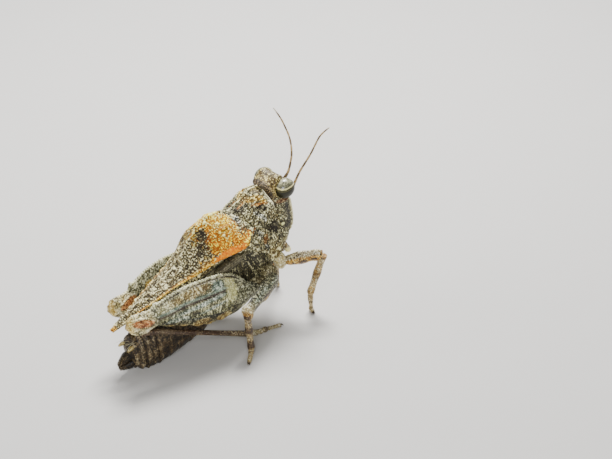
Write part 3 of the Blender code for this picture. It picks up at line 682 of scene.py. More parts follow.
head = {
    # height: face, back of the head, half width
    "rows": [
        (-3.34, 0.42, 0.12, 0.38), (-3.2, 0.5, 0.08, 0.46), (-2.9, 0.68, 0.06, 0.57),
        (-2.5, 0.85, 0.06, 0.71), (-2.0, 0.99, 0.06, 0.81), (-1.5, 1.08, 0.06, 0.85),
        (-0.9, 1.16, 0.06, 0.86), (-0.45, 1.2, 0.06, 0.86), (-0.12, 1.15, 0.04, 0.77),
        (0.03, 1.06, 0.0, 0.66), (0.1, 0.98, 0.04, 0.54), (0.15, 0.86, 0.12, 0.38),
        (0.17, 0.74, 0.24, 0.22), (0.175, 0.54, 0.44, 0.05),
    ],
    "ringCount": 230, "ringPoints": 240, "power": 2.1, "backPower": 3.0,
    "grainSize": 0.075, "grainHeight": 0.016,
    "eyeSocket": 0.045,                         # the rim that stands round each eye
    "faceRidge": 0.15,
    "feelerPit": (1.2, 0.42, -0.92),
}
eye = {"place": (0.91, 0.72, -0.4), "size": (0.49, 0.41, 0.46), "rows": 120, "cols": 160}


def makeHead():
    spec = head
    rows = np.array(spec["rows"])
    reached = np.concatenate([[0], np.cumsum(np.hypot(np.diff(rows[:, 0]), np.diff(rows[:, 3])))])
    heights = np.interp(np.linspace(0, reached[-1], spec["ringCount"]), reached, rows[:, 0])
    face, back, half = readRows(spec["rows"], heights).T
    f, r = roundedBox(turns(spec["ringPoints"]), spec["power"])
    power = spec["backPower"] - (spec["backPower"] - spec["power"]) * smooth(heights, -1.5, -0.8)[:, None]
    square = np.sign(r) * (1 - np.abs(f) ** power) ** (1 / power)
    r = np.where(f < 0, square, r)
    grid = uprightGrid(heights, face, back, half, f, r)
    u = grid[..., 2]
    side = np.abs(grid[..., 1])
    front = smooth(f, 0.15, 0.6)[None] * np.ones_like(u)
    relief, tone = hornRelief(grid, spec["grainSize"], spec["grainHeight"], 211, 0.2, 0.022, 0.3)
    lift = relief * (0.35 + 0.65 * (1 - 0.6 * front))
    # two close keels down the middle of the face, parting below the feelers
    parting = 0.07 + 0.06 * bumpAt(u, -1.35, 0.5) + 0.03 * smooth(-u, 2.0, 2.8)
    ridge = bumpAt(side, parting, 0.05) + 0.8 * smooth(parting - side, 0, 0.03)
    along = front * smooth(-u, 0.75, 1.0) * smooth(u, -2.75, -2.4) * (1 - 0.35 * bumpAt(u, -1.95, 0.12))
    lift += spec["faceRidge"] * np.clip(ridge, 0, 1) * along
    # side keels of the face, from under the eyes to the jaw
    keelAt = 0.69 - 0.16 * smooth(-u, 1.4, 2.9)
    keel = bumpAt(side, keelAt, 0.042) * front * smooth(-u, 0.9, 1.1) * smooth(u, -2.85, -2.5)
    lift += 0.11 * keel
    lift -= 0.05 * bumpAt(side, keelAt + 0.15, 0.08) * smooth(-u, 0.9, 1.2) * smooth(u, -2.8, -2.4)
    # crown: middle keel and the raised front edge between the eyes
    lift += 0.04 * bumpAt(side, 0.0, 0.035) * smooth(u, -0.16, -0.05) * (1 - front)
    lift += 0.05 * bumpAt(u, -0.16, 0.06) * front * smooth(0.5 - side, 0, 0.2)
    lift += 0.07 * bumpAt(grid[..., 0], 0.92, 0.34) * smooth(u, -0.15, 0.08) * smooth(0.6 - side, 0, 0.3)
    # a swelling beside each eye
    lift += 0.13 * bumpAt(side, 0.46, 0.2) * smooth(u, -0.4, -0.05) * bumpAt(grid[..., 0], 0.82, 0.34)
    # drawn in behind the eyes
    lift -= 0.13 * smooth(side, 0.5, 0.74) * smooth(0.85 - grid[..., 0], 0, 0.4) * smooth(u, -1.3, -0.7)
    # seams: under the face plate, and from each jaw up the cheek
    lift -= 0.05 * bumpAt(u, -2.62 + 0.1 * side, 0.035) * front
    jawSeam = bumpAt(grid[..., 0], 0.62 + 0.08 * np.sin(3 * u), 0.035)
    lift -= 0.04 * jawSeam * smooth(-u, 1.4, 1.8) * smooth(side, 0.4, 0.5)
    # feeler pits
    pit = np.linalg.norm(np.stack([grid[..., 0], side, u], -1) - np.array(spec["feelerPit"]), axis=-1)
    lift -= 0.1 * bumpAt(pit, 0, 0.1)
    lift += 0.04 * bumpAt(pit, 0.17, 0.05) * front
    # eye sockets: a raised rim round each eye
    centre, size = np.array(eye["place"]), np.array(eye["size"])
    away = np.linalg.norm((np.stack([grid[..., 0], side, u], -1) - centre) / (size + 0.05), axis=-1)
    lift += spec["eyeSocket"] * bumpAt(away, 1.08, 0.09)
    grid = push(grid, lift)
    wobble = 0.6 * (roughNoise(grid, 0.3, 231) - 0.5) + 0.4 * (roughNoise(grid, 0.1, 233) - 0.5)
    ahead = grid[..., 0]
    cheek = np.hypot((ahead - 0.32 + 0.4 * (u + 2.12)) / 0.3, (u + 2.12) / 0.23)
    besideKeel = bumpAt(side, keelAt + 0.13, 0.08) * smooth(ahead, 0.4, 0.55) * smooth(-u, 1.0, 1.2)
    besideKeel = besideKeel * smooth(u, -2.8, -2.5)
    cheekPatch = smooth(1.2 - cheek + 0.7 * wobble, 0, 0.35)
    faceStripe = front * smooth(parting + 0.09 - side, 0, 0.04) * smooth(-u, 0.8, 1.0)
    faceStripe = faceStripe * smooth(u, -2.55, -2.3) * (1 - 0.8 * bumpAt(u, -1.95, 0.1))
    # pale stripe on each side keel of the face: its cream colour, brightened as a painted highlight
    keelStripeAndHighlight = bumpAt(side, keelAt, 0.028) * smooth(keel, 0.0, 0.3) * (1 - 0.8 * bumpAt(u, -2.25, 0.08))
    eyeRim = bumpAt(away, 1.1, 0.06) * smooth(ahead, 0.85, 1.1) * smooth(u, -0.75, -0.5)
    paleAndHighlightHere = faceStripe + 1.4 * keelStripeAndHighlight + 0.9 * eyeRim + 0.4 * smooth(-u, 2.9, 3.1) + wobble * 0.3
    underEye = 1.25 - np.hypot((ahead - 0.62) / 0.28, (u + 0.85) / 0.1) + 1.2 * wobble
    masks = {
        "height": np.clip(tone + 0.3 * wobble, 0, 1),
        "pale": np.clip(paleAndHighlightHere, 0, 1),
        "crown": smooth(u, -0.75 + 0.3 * wobble, -0.35 + 0.3 * wobble) * (1 - 0.3 * front),
        "under": np.clip(smooth(underEye, 0, 0.4), 0, 0.8) * smooth(side, 0.5, 0.6),
        # dark at the back of the head under the shield's front edge: painted shadow of the shield
        "nape": smooth(0.34 - ahead + 0.3 * wobble, 0.0, 0.1) * smooth(u, -1.2, -0.8),
        "patch": np.maximum(cheekPatch, besideKeel) * smooth(side, 0.3, 0.4),
        "spot": smooth(0.11 - np.hypot(ahead - 0.25, u + 2.06), 0, 0.04) * smooth(side, 0.4, 0.5),
    }
    look = maskedLook("headHorn", ((0.017, 0.014, 0.008), (0.3, 0.262, 0.13), (0.92, 0.89, 0.52)), [
        ("crown", ((0.035, 0.018, 0.004), (0.32, 0.225, 0.06), (0.84, 0.7, 0.27)), 1.0),
        # painted shadow at the back of the head
        ("nape", ((0.01, 0.006, 0.003), (0.065, 0.04, 0.018), (0.34, 0.24, 0.12)), 0.9),
        ("under", ((0.05, 0.012, 0.004), (0.17, 0.055, 0.012), (0.45, 0.24, 0.08)), 0.9),
        ("patch", ((0.006, 0.005, 0.004), (0.018, 0.014, 0.009), (0.18, 0.16, 0.09)), 0.6),
        ("spot", ((0.6, 0.6, 0.25), (0.9, 0.9, 0.45), (1.0, 1.0, 0.75)), 0.3),
        ("pale", ((0.45, 0.38, 0.18), (1.0, 0.92, 0.56), (1.0, 1.0, 0.8)), 0.4),
    ], roughness=0.55, coat=0.06)
    shellPiece("headCase", [(grid, masks)], look, ["head"])


def makeEyes():
    look = newLook("eyeGlass", 0.42, 0.5, 0.16, 0.25)
    w = Wiring(look.node_tree)
    height = w.mask("level")
    veil = w.noise(w.place(), 0.07, 3.0, 0.6)
    level = w.maths("ADD", height, w.maths("MULTIPLY", w.maths("SUBTRACT", veil, 0.5), 0.16))
    top = w.mix(w.ramp(veil, 0.38, 0.6), (0.07, 0.068, 0.036), (0.42, 0.4, 0.24))
    dusk = w.maths("MULTIPLY", w.ramp(level, 0.62, 0.26), 0.65)
    colour = w.mix(dusk, top, (0.045, 0.046, 0.028))
    colour = w.mix(w.ramp(level, 0.15, 0.09), colour, (0.86, 0.78, 0.36))
    colour = w.mix(w.ramp(level, 0.01, -0.05), colour, (0.02, 0.018, 0.006))
    colour = w.mix(w.ramp(level, -0.1, -0.15), colour, (0.075, 0.066, 0.024))
    colour = w.mix(w.ramp(level, -0.2, -0.28), colour, (0.014, 0.013, 0.004))
    shader = look.node_tree.nodes["Principled BSDF"]
    coat = w.maths("ADD", 0.15, w.maths("MULTIPLY", w.ramp(level, 0.0, 0.15), 0.75))
    w.join(coat, shader.inputs["Coat Weight"])
    distance = w.cells(w.place(), 0.022)
    finishLook(look, w, colour, distance, depth=0.0015)
    for sideName, sign in sides.items():
        f, r, u = eye["place"]
        grid, unit = ballGrid((f, sign * r, u), eye["size"], eye["rows"], eye["cols"])
        across = unit @ np.array([0.716, 0.654 * sign, -0.245])
        level = unit @ np.array([0.437, -0.146 * sign, 0.888]) - 0.06 - 0.34 * across**2 - 0.06 * across
        shellPiece(f"eyeBall_{sideName}", [(grid, {"level": level})], look, [f"eye_{sideName}"])


mouth = {
    "lip": [(-3.86, 0.25, 0.0, 0.23), (-3.62, 0.35, 0.02, 0.31), (-3.4, 0.4, 0.06, 0.34),
            (-3.3, 0.42, 0.1, 0.35)],
    # root, bends and tip of each palp, and its radii
    "palps": [
        ([(0.12, 0.44, -3.18), (0.17, 0.52, -3.36), (0.17, 0.56, -3.54), (0.13, 0.56, -3.72)],
         (0.07, 0.08, 0.1, 0.135, 0.09)),
        ([(0.1, 0.36, -3.4), (0.14, 0.44, -3.56), (0.12, 0.44, -3.8)], (0.06, 0.07, 0.08, 0.05)),
    ],
    "palpJoints": (0.33, 0.66),
}


def makeMouth():
    look = maskedLook("mouthHorn", ((0.05, 0.03, 0.015), (0.34, 0.25, 0.12), (0.74, 0.66, 0.44)), [
        ("pale", ((0.7, 0.6, 0.25), (1.0, 0.92, 0.5), (1.0, 1.0, 0.7)), 0.3),
    ], roughness=0.5, coat=0.2)
    heights = np.linspace(mouth["lip"][0][0], mouth["lip"][-1][0], 40)
    face, back, half = readRows(mouth["lip"], heights).T
    grid = uprightGrid(heights, face, back, half, *roundedBox(turns(64), 2.6))
    relief, tone = hornRelief(grid, 0.06, 0.01, 251)
    notch = 0.05 * bumpAt(grid[..., 1], 0, 0.05) * smooth(-grid[..., 2], 3.6, 3.86)
    grid = push(grid, relief - notch)
    shellPiece("upperLip", [(grid, {"height": tone})], look, ["labrum"])
    for sideName, sign in sides.items():
        parts = []
        for path, radii in mouth["palps"]:
            flipped = [(a, sign * b, c) for a, b, c in path]
            grid, t, _ = rod(flipped, radii, 60, 20, upward=(1, 0, 0.2))
            grid = push(grid, -0.018 * sum(bumpAt(t, where, 0.03) for where in mouth["palpJoints"]))
            parts.append((grid, {"pale": smooth(t, 0.52, 0.62), "height": 0.5}))
        shellPiece(f"palpPair_{sideName}", parts, look, [f"palp_{sideName}"])


feeler = {
    "paths": {
        "right": [(1.3, 0.4, -0.96), (1.52, 0.44, -0.86), (1.95, 0.62, -0.3), (2.62, 0.92, 0.42),
                  (3.28, 1.16, 1.15), (3.66, 1.44, 1.44)],
        "left": [(1.3, -0.4, -0.96), (1.52, -0.36, -0.92), (1.92, -0.24, -0.62), (2.3, -0.3, -0.2),
                 (2.64, -0.52, 0.14), (3.02, -1.05, 0.58), (3.1, -1.36, 1.16), (3.14, -1.78, 1.62)],
    },
    "radii": (0.1, 0.085, 0.055, 0.048, 0.042, 0.038, 0.028),
    "segments": 15, "rows": 300, "cols": 16,
    "paleTip": {"right": 0.4, "left": 1.0},
}


def makeFeelers():
    spec = feeler
    look = newLook("feelerHorn", 0.5, 0.1)
    w = Wiring(look.node_tree)
    fine = w.noise(w.place(), 0.05, 3.0, 0.6)
    colour = w.mix(w.mask("dark"), w.mix(fine, (0.26, 0.16, 0.06), (0.5, 0.35, 0.16)), (0.06, 0.035, 0.018))
    colour = w.mix(w.mask("pale"), colour, (0.74, 0.7, 0.6))
    finishLook(look, w, colour, fine, depth=0.003)
    for sideName, path in spec["paths"].items():
        grid, t, _ = rod(path, spec["radii"], spec["rows"], spec["cols"])
        beads = (t * spec["segments"]) % 1.0
        grid = push(grid, 0.008 * np.sin(math.pi * beads) ** 0.6 - 0.006)
        pale = smooth(t, 0.9, 0.97) * spec["paleTip"][sideName]
        dark = (np.floor(t * spec["segments"]) % 2) * 0.75 * (1 - pale)
        shellPiece(f"feeler_{sideName}", [(grid, {"dark": dark, "pale": pale})], look,
                   [f"antenna_{sideName}"])


makeHead()
makeEyes()
makeMouth()
makeFeelers()
print("grasshopper: head, eyes, mouth and feelers made")

# trunk

trunk = {
    # distance back: half width, top, bottom
    "thorax": [
        (0.0, 0.52, -1.05, -2.3), (0.35, 0.74, -1.06, -3.3), (0.8, 0.84, -1.06, -3.85),
        (1.4, 0.88, -1.1, -4.0), (2.2, 0.93, -1.06, -4.08), (3.12, 0.92, -1.06, -4.06),
        (3.22, 0.9, -1.92, -4.06), (4.2, 0.84, -1.97, -4.14), (4.4, 0.82, -1.98, -4.2),
    ],
    "abdomen": [
        (4.2, 0.8, -1.97, -4.2), (5.4, 0.86, -1.97, -4.52), (6.8, 0.84, -2.02, -4.46),
        (7.8, 0.74, -2.06, -4.4), (8.3, 0.64, -2.12, -4.3), (8.68, 0.52, -2.24, -4.12),
        (8.92, 0.36, -2.44, -3.84),
    ],
    # rings, points on each ring and its squareness
    "mesh": {"thorax": (190, 190, 3.2), "abdomen": (260, 200, 2.2), "neck": (90, 90, 2.3), "coxae": (60, 72)},
    "segments": 8, "step": 0.06,
    # distance back and depth of each
    "sideSeams": ((0.62, 0.07), (1.3, 0.09), (1.92, 0.06), (2.62, 0.09), (3.35, 0.05)),
    "neck": {"path": ((-0.5, 0, -1.86), (0.0, 0, -1.86), (0.5, 0, -1.86)), "half": (1.06, 1.04, 0.94),
             "flatten": 0.45},
    "coxae": {"fore": ((-0.56, 0.76, -3.6), (0.31, 0.31, 0.5)),
              "mid": ((-1.44, 1.0, -3.62), (0.42, 0.4, 0.44)),
              "hind": ((-2.36, 1.06, -3.68), (0.54, 0.42, 0.44))},
}


def trunkGrid(part):
    rows, (rings, cols, power) = trunk[part], trunk["mesh"][part]
    backs = np.linspace(rows[0][0], rows[-1][0], rings)
    r, u = roundedBox(turns(cols, 0.5), power)
    return lyingGrid(backs, *readRows(rows, backs).T, r, u), u[None], r[None]


def makeThorax():
    spec = trunk
    grid, _, r = trunkGrid("thorax")
    s, height = -grid[..., 0], grid[..., 2]
    onSide = smooth(np.abs(r), 0.5, 0.8)
    relief, tone = hornRelief(grid, 0.085, 0.016, 311, 0.22, 0.02, 0.3)
    lift = relief - 0.05 * bumpAt(height, -3.15, 0.05) * smooth(np.abs(r), 0.6, 0.9)
    for where, depth in spec["sideSeams"]:          # seams of the side plates lean forward as they run down
        seam = where + 0.22 * (height + 3.0)
        lift += onSide * (0.03 * bumpAt(s, seam + 0.13, 0.07) - depth * bumpAt(s, seam, 0.05))
    grid = push(grid, lift)
    wobble = roughNoise(grid, 0.3, 331) - 0.5
    masks = {"height": np.clip(tone + 0.4 * wobble, 0, 1), "low": smooth(-height, 3.2, 3.9)}
    parts = [(grid, masks)]
    neck, (rings, cols, power) = spec["neck"], spec["mesh"]["neck"]
    grid, t, _ = rod(neck["path"], neck["half"], rings, cols, neck["flatten"], power)
    relief, tone = hornRelief(grid, 0.08, 0.01, 351)
    parts.append((push(grid, relief + 0.02 * np.sin(26 * t)), {"height": 0.5 * tone}))
    for pair, (place, size) in spec["coxae"].items():
        for sign in sides.values():
            ball, unit = ballGrid((place[0], sign * place[1], place[2]), size, *spec["mesh"]["coxae"])
            relief, tone = hornRelief(ball, 0.08, 0.014, 341, 0.2, 0.02, 0.3)
            ball = push(ball, relief - 0.04 * bumpAt(unit[..., 0], 0.25, 0.12))
            parts.append((ball, {"height": tone, "low": 0.5, "cream": 1.0 if pair == "fore" else 0.15}))
    look = maskedLook("sideHorn", ((0.01, 0.008, 0.005), (0.13, 0.115, 0.058), (0.52, 0.48, 0.27)), [
        ("low", ((0.012, 0.009, 0.005), (0.19, 0.165, 0.085), (0.66, 0.6, 0.34)), 1.0),
        ("cream", ((0.16, 0.1, 0.03), (0.95, 0.84, 0.46), (1.0, 1.0, 0.76)), 0.7),
    ], roughness=0.6, coat=0.06)
    shellPiece("chest", parts, look,
               ["thorax", *(f"coxa_{pair}_{sideName}" for pair in spec["coxae"] for sideName in sides)])


def makeAbdomen():
    spec = trunk
    first, last = spec["abdomen"][0][0], spec["abdomen"][-1][0]
    grid, u, _ = trunkGrid("abdomen")
    s, height = -grid[..., 0], grid[..., 2]
    length = (last - first) / spec["segments"]
    lean = 0.16 * (height + 3.2)
    phase = ((s - first + lean) / length) % 1.0
    fall = smooth(phase, 0.93, 1.0)
    lift = spec["step"] * (phase * 0.8 + 0.2) * (1 - fall) - spec["step"]
    relief, tone = hornRelief(grid, 0.07, 0.01, 411)
    ribs = roughNoise(grid * np.array([1.0, 1.0, 0.22]), 0.1, 421, 3) - 0.5
    folds = np.sin(2 * math.pi * (s + 0.22 * height) / 0.3 + 3 * roughNoise(grid, 0.6, 427))
    folds = folds * smooth(s, 7.3, 7.8)
    lift += relief + 0.05 * ribs + 0.028 * folds
    lift -= 0.05 * bumpAt(u, -0.38, 0.06)
    grid = aboveFloor(push(grid, lift))
    wobble = roughNoise(grid, 0.25, 431) - 0.5
    rearEdge = smooth(phase, 0.72, 0.9) * (1 - fall) * (0.6 + 2.5 * wobble)
    masks = {
        "height": np.clip(0.6 * tone + 0.9 * ribs + 0.2, 0, 1),
        "edge": 0.8 * np.clip(rearEdge + 0.8 * smooth(wobble, 0.05, 0.16), 0, 1),
        "belly": smooth(-u, 0.35, 0.6) * (0.6 + wobble),
        "seam": bumpAt(phase, 0.02, 0.04) * 0.7,
        "ashen": np.clip(smooth(s, 7.3, 8.2) * (0.35 + 3.0 * wobble) * (0.6 + 0.7 * folds), 0, 0.9),
    }
    look = maskedLook("abdomenHorn",
                      ((0.004, 0.0025, 0.0015), (0.022, 0.0135, 0.0055), (0.125, 0.084, 0.036)), [
        ("belly", ((0.006, 0.004, 0.002), (0.03, 0.02, 0.009), (0.15, 0.11, 0.055)), 0.8),
        ("edge", ((0.02, 0.012, 0.005), (0.1, 0.064, 0.03), (0.34, 0.26, 0.14)), 0.8),
        ("ashen", ((0.022, 0.014, 0.007), (0.19, 0.135, 0.068), (0.72, 0.6, 0.36)), 1.0),
        ("seam", ((0.008, 0.005, 0.003), (0.02, 0.012, 0.007), (0.06, 0.04, 0.02)), 0.3),
        ("cream", ((0.2, 0.13, 0.03), (0.62, 0.5, 0.2), (1.0, 0.92, 0.52)), 0.8),
    ], roughness=0.5, coat=0.08, topPaleAndHighlight=0.6)
    shellPiece("abdomenRings", [(grid, masks)], look, ["abdomen"])
    makeTailEnd(look)


tail = {
    "reach": 0.74, "start": 8.86, "parting": -3.3, "halfWidth": 0.25, "teeth": 11, "tooth": 0.095,
    "valves": {"upper": (-2.86, -3.14, 1), "lower": (-3.72, -3.4, -1)},
    "bristles": 9, "bristleLength": (0.38, 0.66), "bristleRadius": 0.009,
    "cercus": [(-8.72, 0.26, -2.62), (-8.9, 0.31, -2.58), (-9.08, 0.34, -2.6)],
    "cercusRadii": (0.12, 0.1, 0.07, 0.025),
}


def makeTailEnd(look):
    spec = tail
    t = np.linspace(0, 1, 120)
    r, u = roundedBox(turns(36, 0.5), 2.4)
    for part, (rootHeight, tipHeight, up) in spec["valves"].items():
        saw = np.abs(((t * spec["teeth"]) % 1.0) - 0.35) * 2
        teeth = up * spec["tooth"] * saw * smooth(t, 0.05, 0.3)
        outer = rootHeight + (tipHeight - rootHeight) * t**1.5 + teeth
        inner = up * 0.03 + spec["parting"] + (tipHeight - up * 0.25 - spec["parting"]) * 0.2 * t
        half = spec["halfWidth"] * (1 - 0.8 * t**2)
        pinch = 1 - 0.45 * smooth(u * up, 0.2, 1.0)
        top, bottom = np.maximum(outer, inner), np.minimum(outer, inner)
        grid = lyingGrid(spec["start"] + spec["reach"] * t, half, top, bottom, r * pinch, u)
        relief, tone = hornRelief(grid, 0.06, 0.01, 451)
        grid = push(grid, relief)
        crumbs = roughNoise(grid, 0.12, 453, 3, 0.7) - 0.5
        masks = {"height": tone, "edge": 0.6 * smooth(t, 0.4, 1)[:, None],
                 "ashen": np.clip(smooth(u * up, 0.2, 0.9) * (0.5 + 5 * crumbs), 0, 0.9),
                 "seam": 0.5 * smooth(u * up, 0.7, 1.0) * smooth(saw, 0.6, 0.2)[:, None]}
        shellPiece(f"eggBlade_{part}", [(grid, masks)], look, [f"ovipositor_{part}"])
    for sideName, sign in sides.items():
        grid, t, _ = rod([(f, sign * r, u) for f, r, u in spec["cercus"]], spec["cercusRadii"], 40, 24)
        relief, tone = hornRelief(grid, 0.05, 0.006, 461)
        masks = {"height": tone, "cream": 0.9 * smooth(t, 0.15, 0.4)}
        shellPiece(f"cercusCone_{sideName}", [(push(grid, relief), masks)], look,
                   [f"cercus_{sideName}"])
    chance = np.random.default_rng(7)
    hairs = []
    for _ in range(spec["bristles"]):
        root = np.array([chance.uniform(-8.74, -8.6), chance.uniform(-0.1, 0.4),
                         chance.uniform(-2.42, -2.3)])
        way = np.array([-1.0, chance.uniform(-0.35, 0.45), chance.uniform(-0.05, 0.95)])
        length = chance.uniform(*spec["bristleLength"])
        hairs.append((thorn(root, root + way / np.linalg.norm(way) * length, spec["bristleRadius"]), {}))
    bristleLook = newLook("bristleHorn", 0.4)
    w = Wiring(bristleLook.node_tree)
    fine = w.noise(w.place(), 0.03)
    finishLook(bristleLook, w, w.mix(fine, (0.22, 0.18, 0.1), (0.5, 0.46, 0.3)), fine, depth=0.001)
    shellPiece("tailBristles", hairs, bristleLook)


wing = {
    # distance back: inner and outer distance from the middle, top, drop of the outer edge, thickness
    "hindRows": [
        (3.3, 0.1, 0.84, -1.36, 0.0, 0.46), (4.3, 0.05, 0.92, -1.41, 0.03, 0.46),
        (5.2, 0.05, 0.94, -1.42, 0.06, 0.44), (6.2, 0.05, 0.8, -1.45, 0.08, 0.44),
        (7.4, 0.05, 0.6, -1.54, 0.06, 0.42), (8.3, 0.05, 0.36, -1.63, 0.02, 0.34),
    ],
    "fore": {"start": 2.18, "end": 4.25, "inner": 0.92, "thickness": 0.44, "top": -1.3, "bottom": -1.88,
             "veins": (-0.62, -0.3, 0.02, 0.34, 0.66)},
}


def makeHindWing(sideName, look):
    rows = wing["hindRows"]
    backs = np.linspace(rows[0][0], rows[-1][0], 130)
    inner, outer, top, drop, thick = readRows(rows, backs).T
    middle, low = 0.5 * (inner + outer), top - drop
    ring = blendKnots(knotTable(
        (inner, top), (middle, top), (outer - 0.1, low), (outer, low - 0.3 * thick),
        (outer - 0.06, low - thick + 0.06), (middle, top - thick + 0.03), (inner, top - thick + 0.05),
        (inner, top)), np.linspace(0, 7, 85)[:-1])
    across, height = np.moveaxis(ring, -1, 0)
    grid = np.stack([-backs[:, None] + 0 * across, sides[sideName] * across, height], -1)
    pleats = np.sin(60 * across + 6 * height)
    masks = {"height": 0.4 + 0.3 * pleats, "vein": smooth(pleats, 0.5, 0.9)}
    shellPiece(f"hindWing_{sideName}", [(push(grid, 0.014 * pleats), masks)], look,
               [f"hindwing_{sideName}"])


def makeForeWing(sideName, look):
    spec = wing["fore"]
    t = np.linspace(0.01, 0.99, 150)[:, None]
    fullness = np.sin(math.pi * t) ** 0.5
    r, u = roundedBox(turns(90), 2.5)
    middle, reach = 0.5 * (spec["top"] + spec["bottom"]), 0.5 * (spec["top"] - spec["bottom"])
    depth = 0.5 * spec["thickness"]
    # the lower outer side is tucked in beside the thigh
    tucked = r * np.where(r > 0, 1 - 0.95 * smooth(-u, -0.3, 0.3), 1)
    grid = np.stack([
        -(spec["start"] + (spec["end"] - spec["start"]) * t) + 0 * u,
        sides[sideName] * (spec["inner"] + depth + depth * fullness * tucked),
        middle + reach * fullness * u,
    ], -1)
    veins = np.maximum.reduce([bumpAt(u, at + 0.15 * (t - 0.5), 0.045) for at in spec["veins"]])
    grid = push(grid, 0.022 * veins + 0.006 * (roughNoise(grid, 0.1, 481) - 0.5))
    shellPiece(f"foreWing_{sideName}", [(grid, {"height": 0.3 + 0.4 * veins, "vein": 0.8 * veins})], look,
               [f"tegmen_{sideName}"])


def makeWings():
    look = maskedLook("wingLeather", ((0.014, 0.011, 0.006), (0.075, 0.064, 0.034), (0.3, 0.27, 0.16)), [
        ("vein", ((0.03, 0.024, 0.013), (0.13, 0.115, 0.065), (0.36, 0.33, 0.2)), 0.6),
    ], roughness=0.5, coat=0.08, depth=0.008, pits=0.6, topPaleAndHighlight=0.6, blotch=0.7)
    for sideName in sides:
        makeHindWing(sideName, look)
        makeForeWing(sideName, look)


makeThorax()
makeAbdomen()
makeWings()
print("grasshopper: trunk, egg blades and wings made")

# hind legs

thigh = {
    # along the thigh, from hip to past the knee: height above and below its axis, half thickness
    "rows": [
        (0.0, 0.12, 0.16, 0.16), (0.05, 0.28, 0.42, 0.26), (0.1, 0.44, 0.62, 0.3),
        (0.16, 0.74, 0.78, 0.34), (0.22, 1.02, 0.86, 0.37), (0.28, 1.2, 0.88, 0.39),
        (0.37, 1.33, 0.88, 0.4), (0.46, 1.36, 0.87, 0.39), (0.55, 1.36, 0.77, 0.37),
        (0.64, 1.33, 0.6, 0.34), (0.73, 1.22, 0.44, 0.31), (0.82, 1.04, 0.3, 0.28),
        (0.9, 0.82, 0.2, 0.27), (0.95, 0.68, 0.3, 0.29), (1.0, 0.66, 0.46, 0.32),
        (1.05, 0.67, 0.4, 0.31), (1.1, 0.62, 0.24, 0.27), (1.13, 0.42, 0.02, 0.18),
    ],
    "bow": 0.22, "ringCount": 320, "ringPoints": 200,
    "ends": {"right": ((-2.44, 1.36, -3.36), (-8.2, 0.92, -1.36)),
             "left": ((-2.34, -1.36, -3.36), (-7.9, -0.92, -1.45))},
    "grainSize": 0.08, "grainHeight": 0.013,
    # along the thigh: the long rib of the outer face, in mm above the axis, and the lower rib
    "ridge": [(0.0, 0.56, -0.3), (0.3, 0.68, -0.34), (0.65, 0.58, -0.14), (0.87, 0.3, 0.02),
              (1.13, 0.2, 0.1)],
    "chevrons": 34, "chevronHeight": 0.017,
    "lobes": [(0.345, 0.05), (0.46, 0.045), (0.565, 0.055), (0.68, 0.045), (0.79, 0.04)],
    # patches of colour: face, raggedness, then each spot's place along and above the axis, half sizes,
    # slant and strength
    "patches": {
        "teal": ("outer", 0.6, [(0.405, 1.0, 0.06, 0.28, 0.6, 1.0), (0.54, 0.98, 0.1, 0.16, -1.0, 0.35),
                                (0.62, 0.3, 0.2, 0.1, -0.6, 0.6), (0.8, 0.45, 0.08, 0.14, 0.0, 0.6)]),
        "band": ("outer", 0.5, [(0.288, 0.62, 0.05, 0.62, 2.0, 0.85)]),
        # blue: blue-grey patches below the long rib, partly a painted highlight strip
        "blue": ("outer", 0.5, [(0.41, 0.46, 0.08, 0.11, -0.5, 0.9), (0.53, 0.36, 0.1, 0.11, -1.2, 0.9),
                                (0.68, 0.22, 0.09, 0.07, -1.2, 0.6),
                                (0.46, 0.04, 0.12, 0.07, -1.0, 0.8),
                                (0.75, -0.05, 0.1, 0.13, 0.0, 0.6),
                                (0.375, 0.95, 0.012, 0.18, -2.0, 0.8),
                                (0.425, 0.95, 0.012, 0.2, -2.0, 0.8)]),
        "warm": ("outer", 0.8, [(0.6, 1.02, 0.16, 0.26, -0.8, 0.8), (0.78, 0.8, 0.1, 0.2, -0.8, 0.8)]),
        "brown": ("outer", 0.5, [(0.535, -0.6, 0.075, 0.24, 0.0, 1.0),
                                 (0.345, -0.66, 0.065, 0.22, 0.0, 1.0)]),
        "amber": ("inner", 0.4, [(0.735, 0.5, 0.05, 0.26, 0.0, 1.0)]),
        "pearl": ("both", 0.3, [(0.985, -0.16, 0.04, 0.12, 0.0, 1.0), (1.075, 0.1, 0.02, 0.16, 0.0, 0.7)]),
        "shade": ("inner", 0.4, [(0.8, 0.3, 0.05, 0.2, 0.0, 1.0)]),
        "dull": ("both", 0.8, [(0.44, 0.12, 0.05, 0.1, 1.0, 0.8), (0.6, 0.06, 0.05, 0.12, 1.0, 0.8)]),
    },
}
shin = {"start": 0.93, "startDrop": 0.4, "end": 0.1, "endDrop": 2.24,
        "radii": (0.17, 0.15, 0.12, 0.115, 0.12, 0.15),
        "out": 0.06, "spines": 6, "spineLength": 0.16,
        "head": (1.02, 0.34)}                   # place along the thigh and drop below its axis
hindFoot = {"ahead": 1.66, "out": 0.3, "radii": (0.12, 0.14, 0.12, 0.1, 0.13, 0.1, 0.08, 0.09, 0.1),
            # share of the way to the tip, and height above the floor
            "steps": ((0.22, 0.17), (0.5, 0.135), (0.78, 0.12), (1.0, 0.1))}
# ways along and down to the floor, in the body's frame
floorWay = np.array([math.cos(stance["pitch"]), 0, -math.sin(stance["pitch"])])
straightDown = np.array([-math.sin(stance["pitch"]), 0, -math.cos(stance["pitch"])])


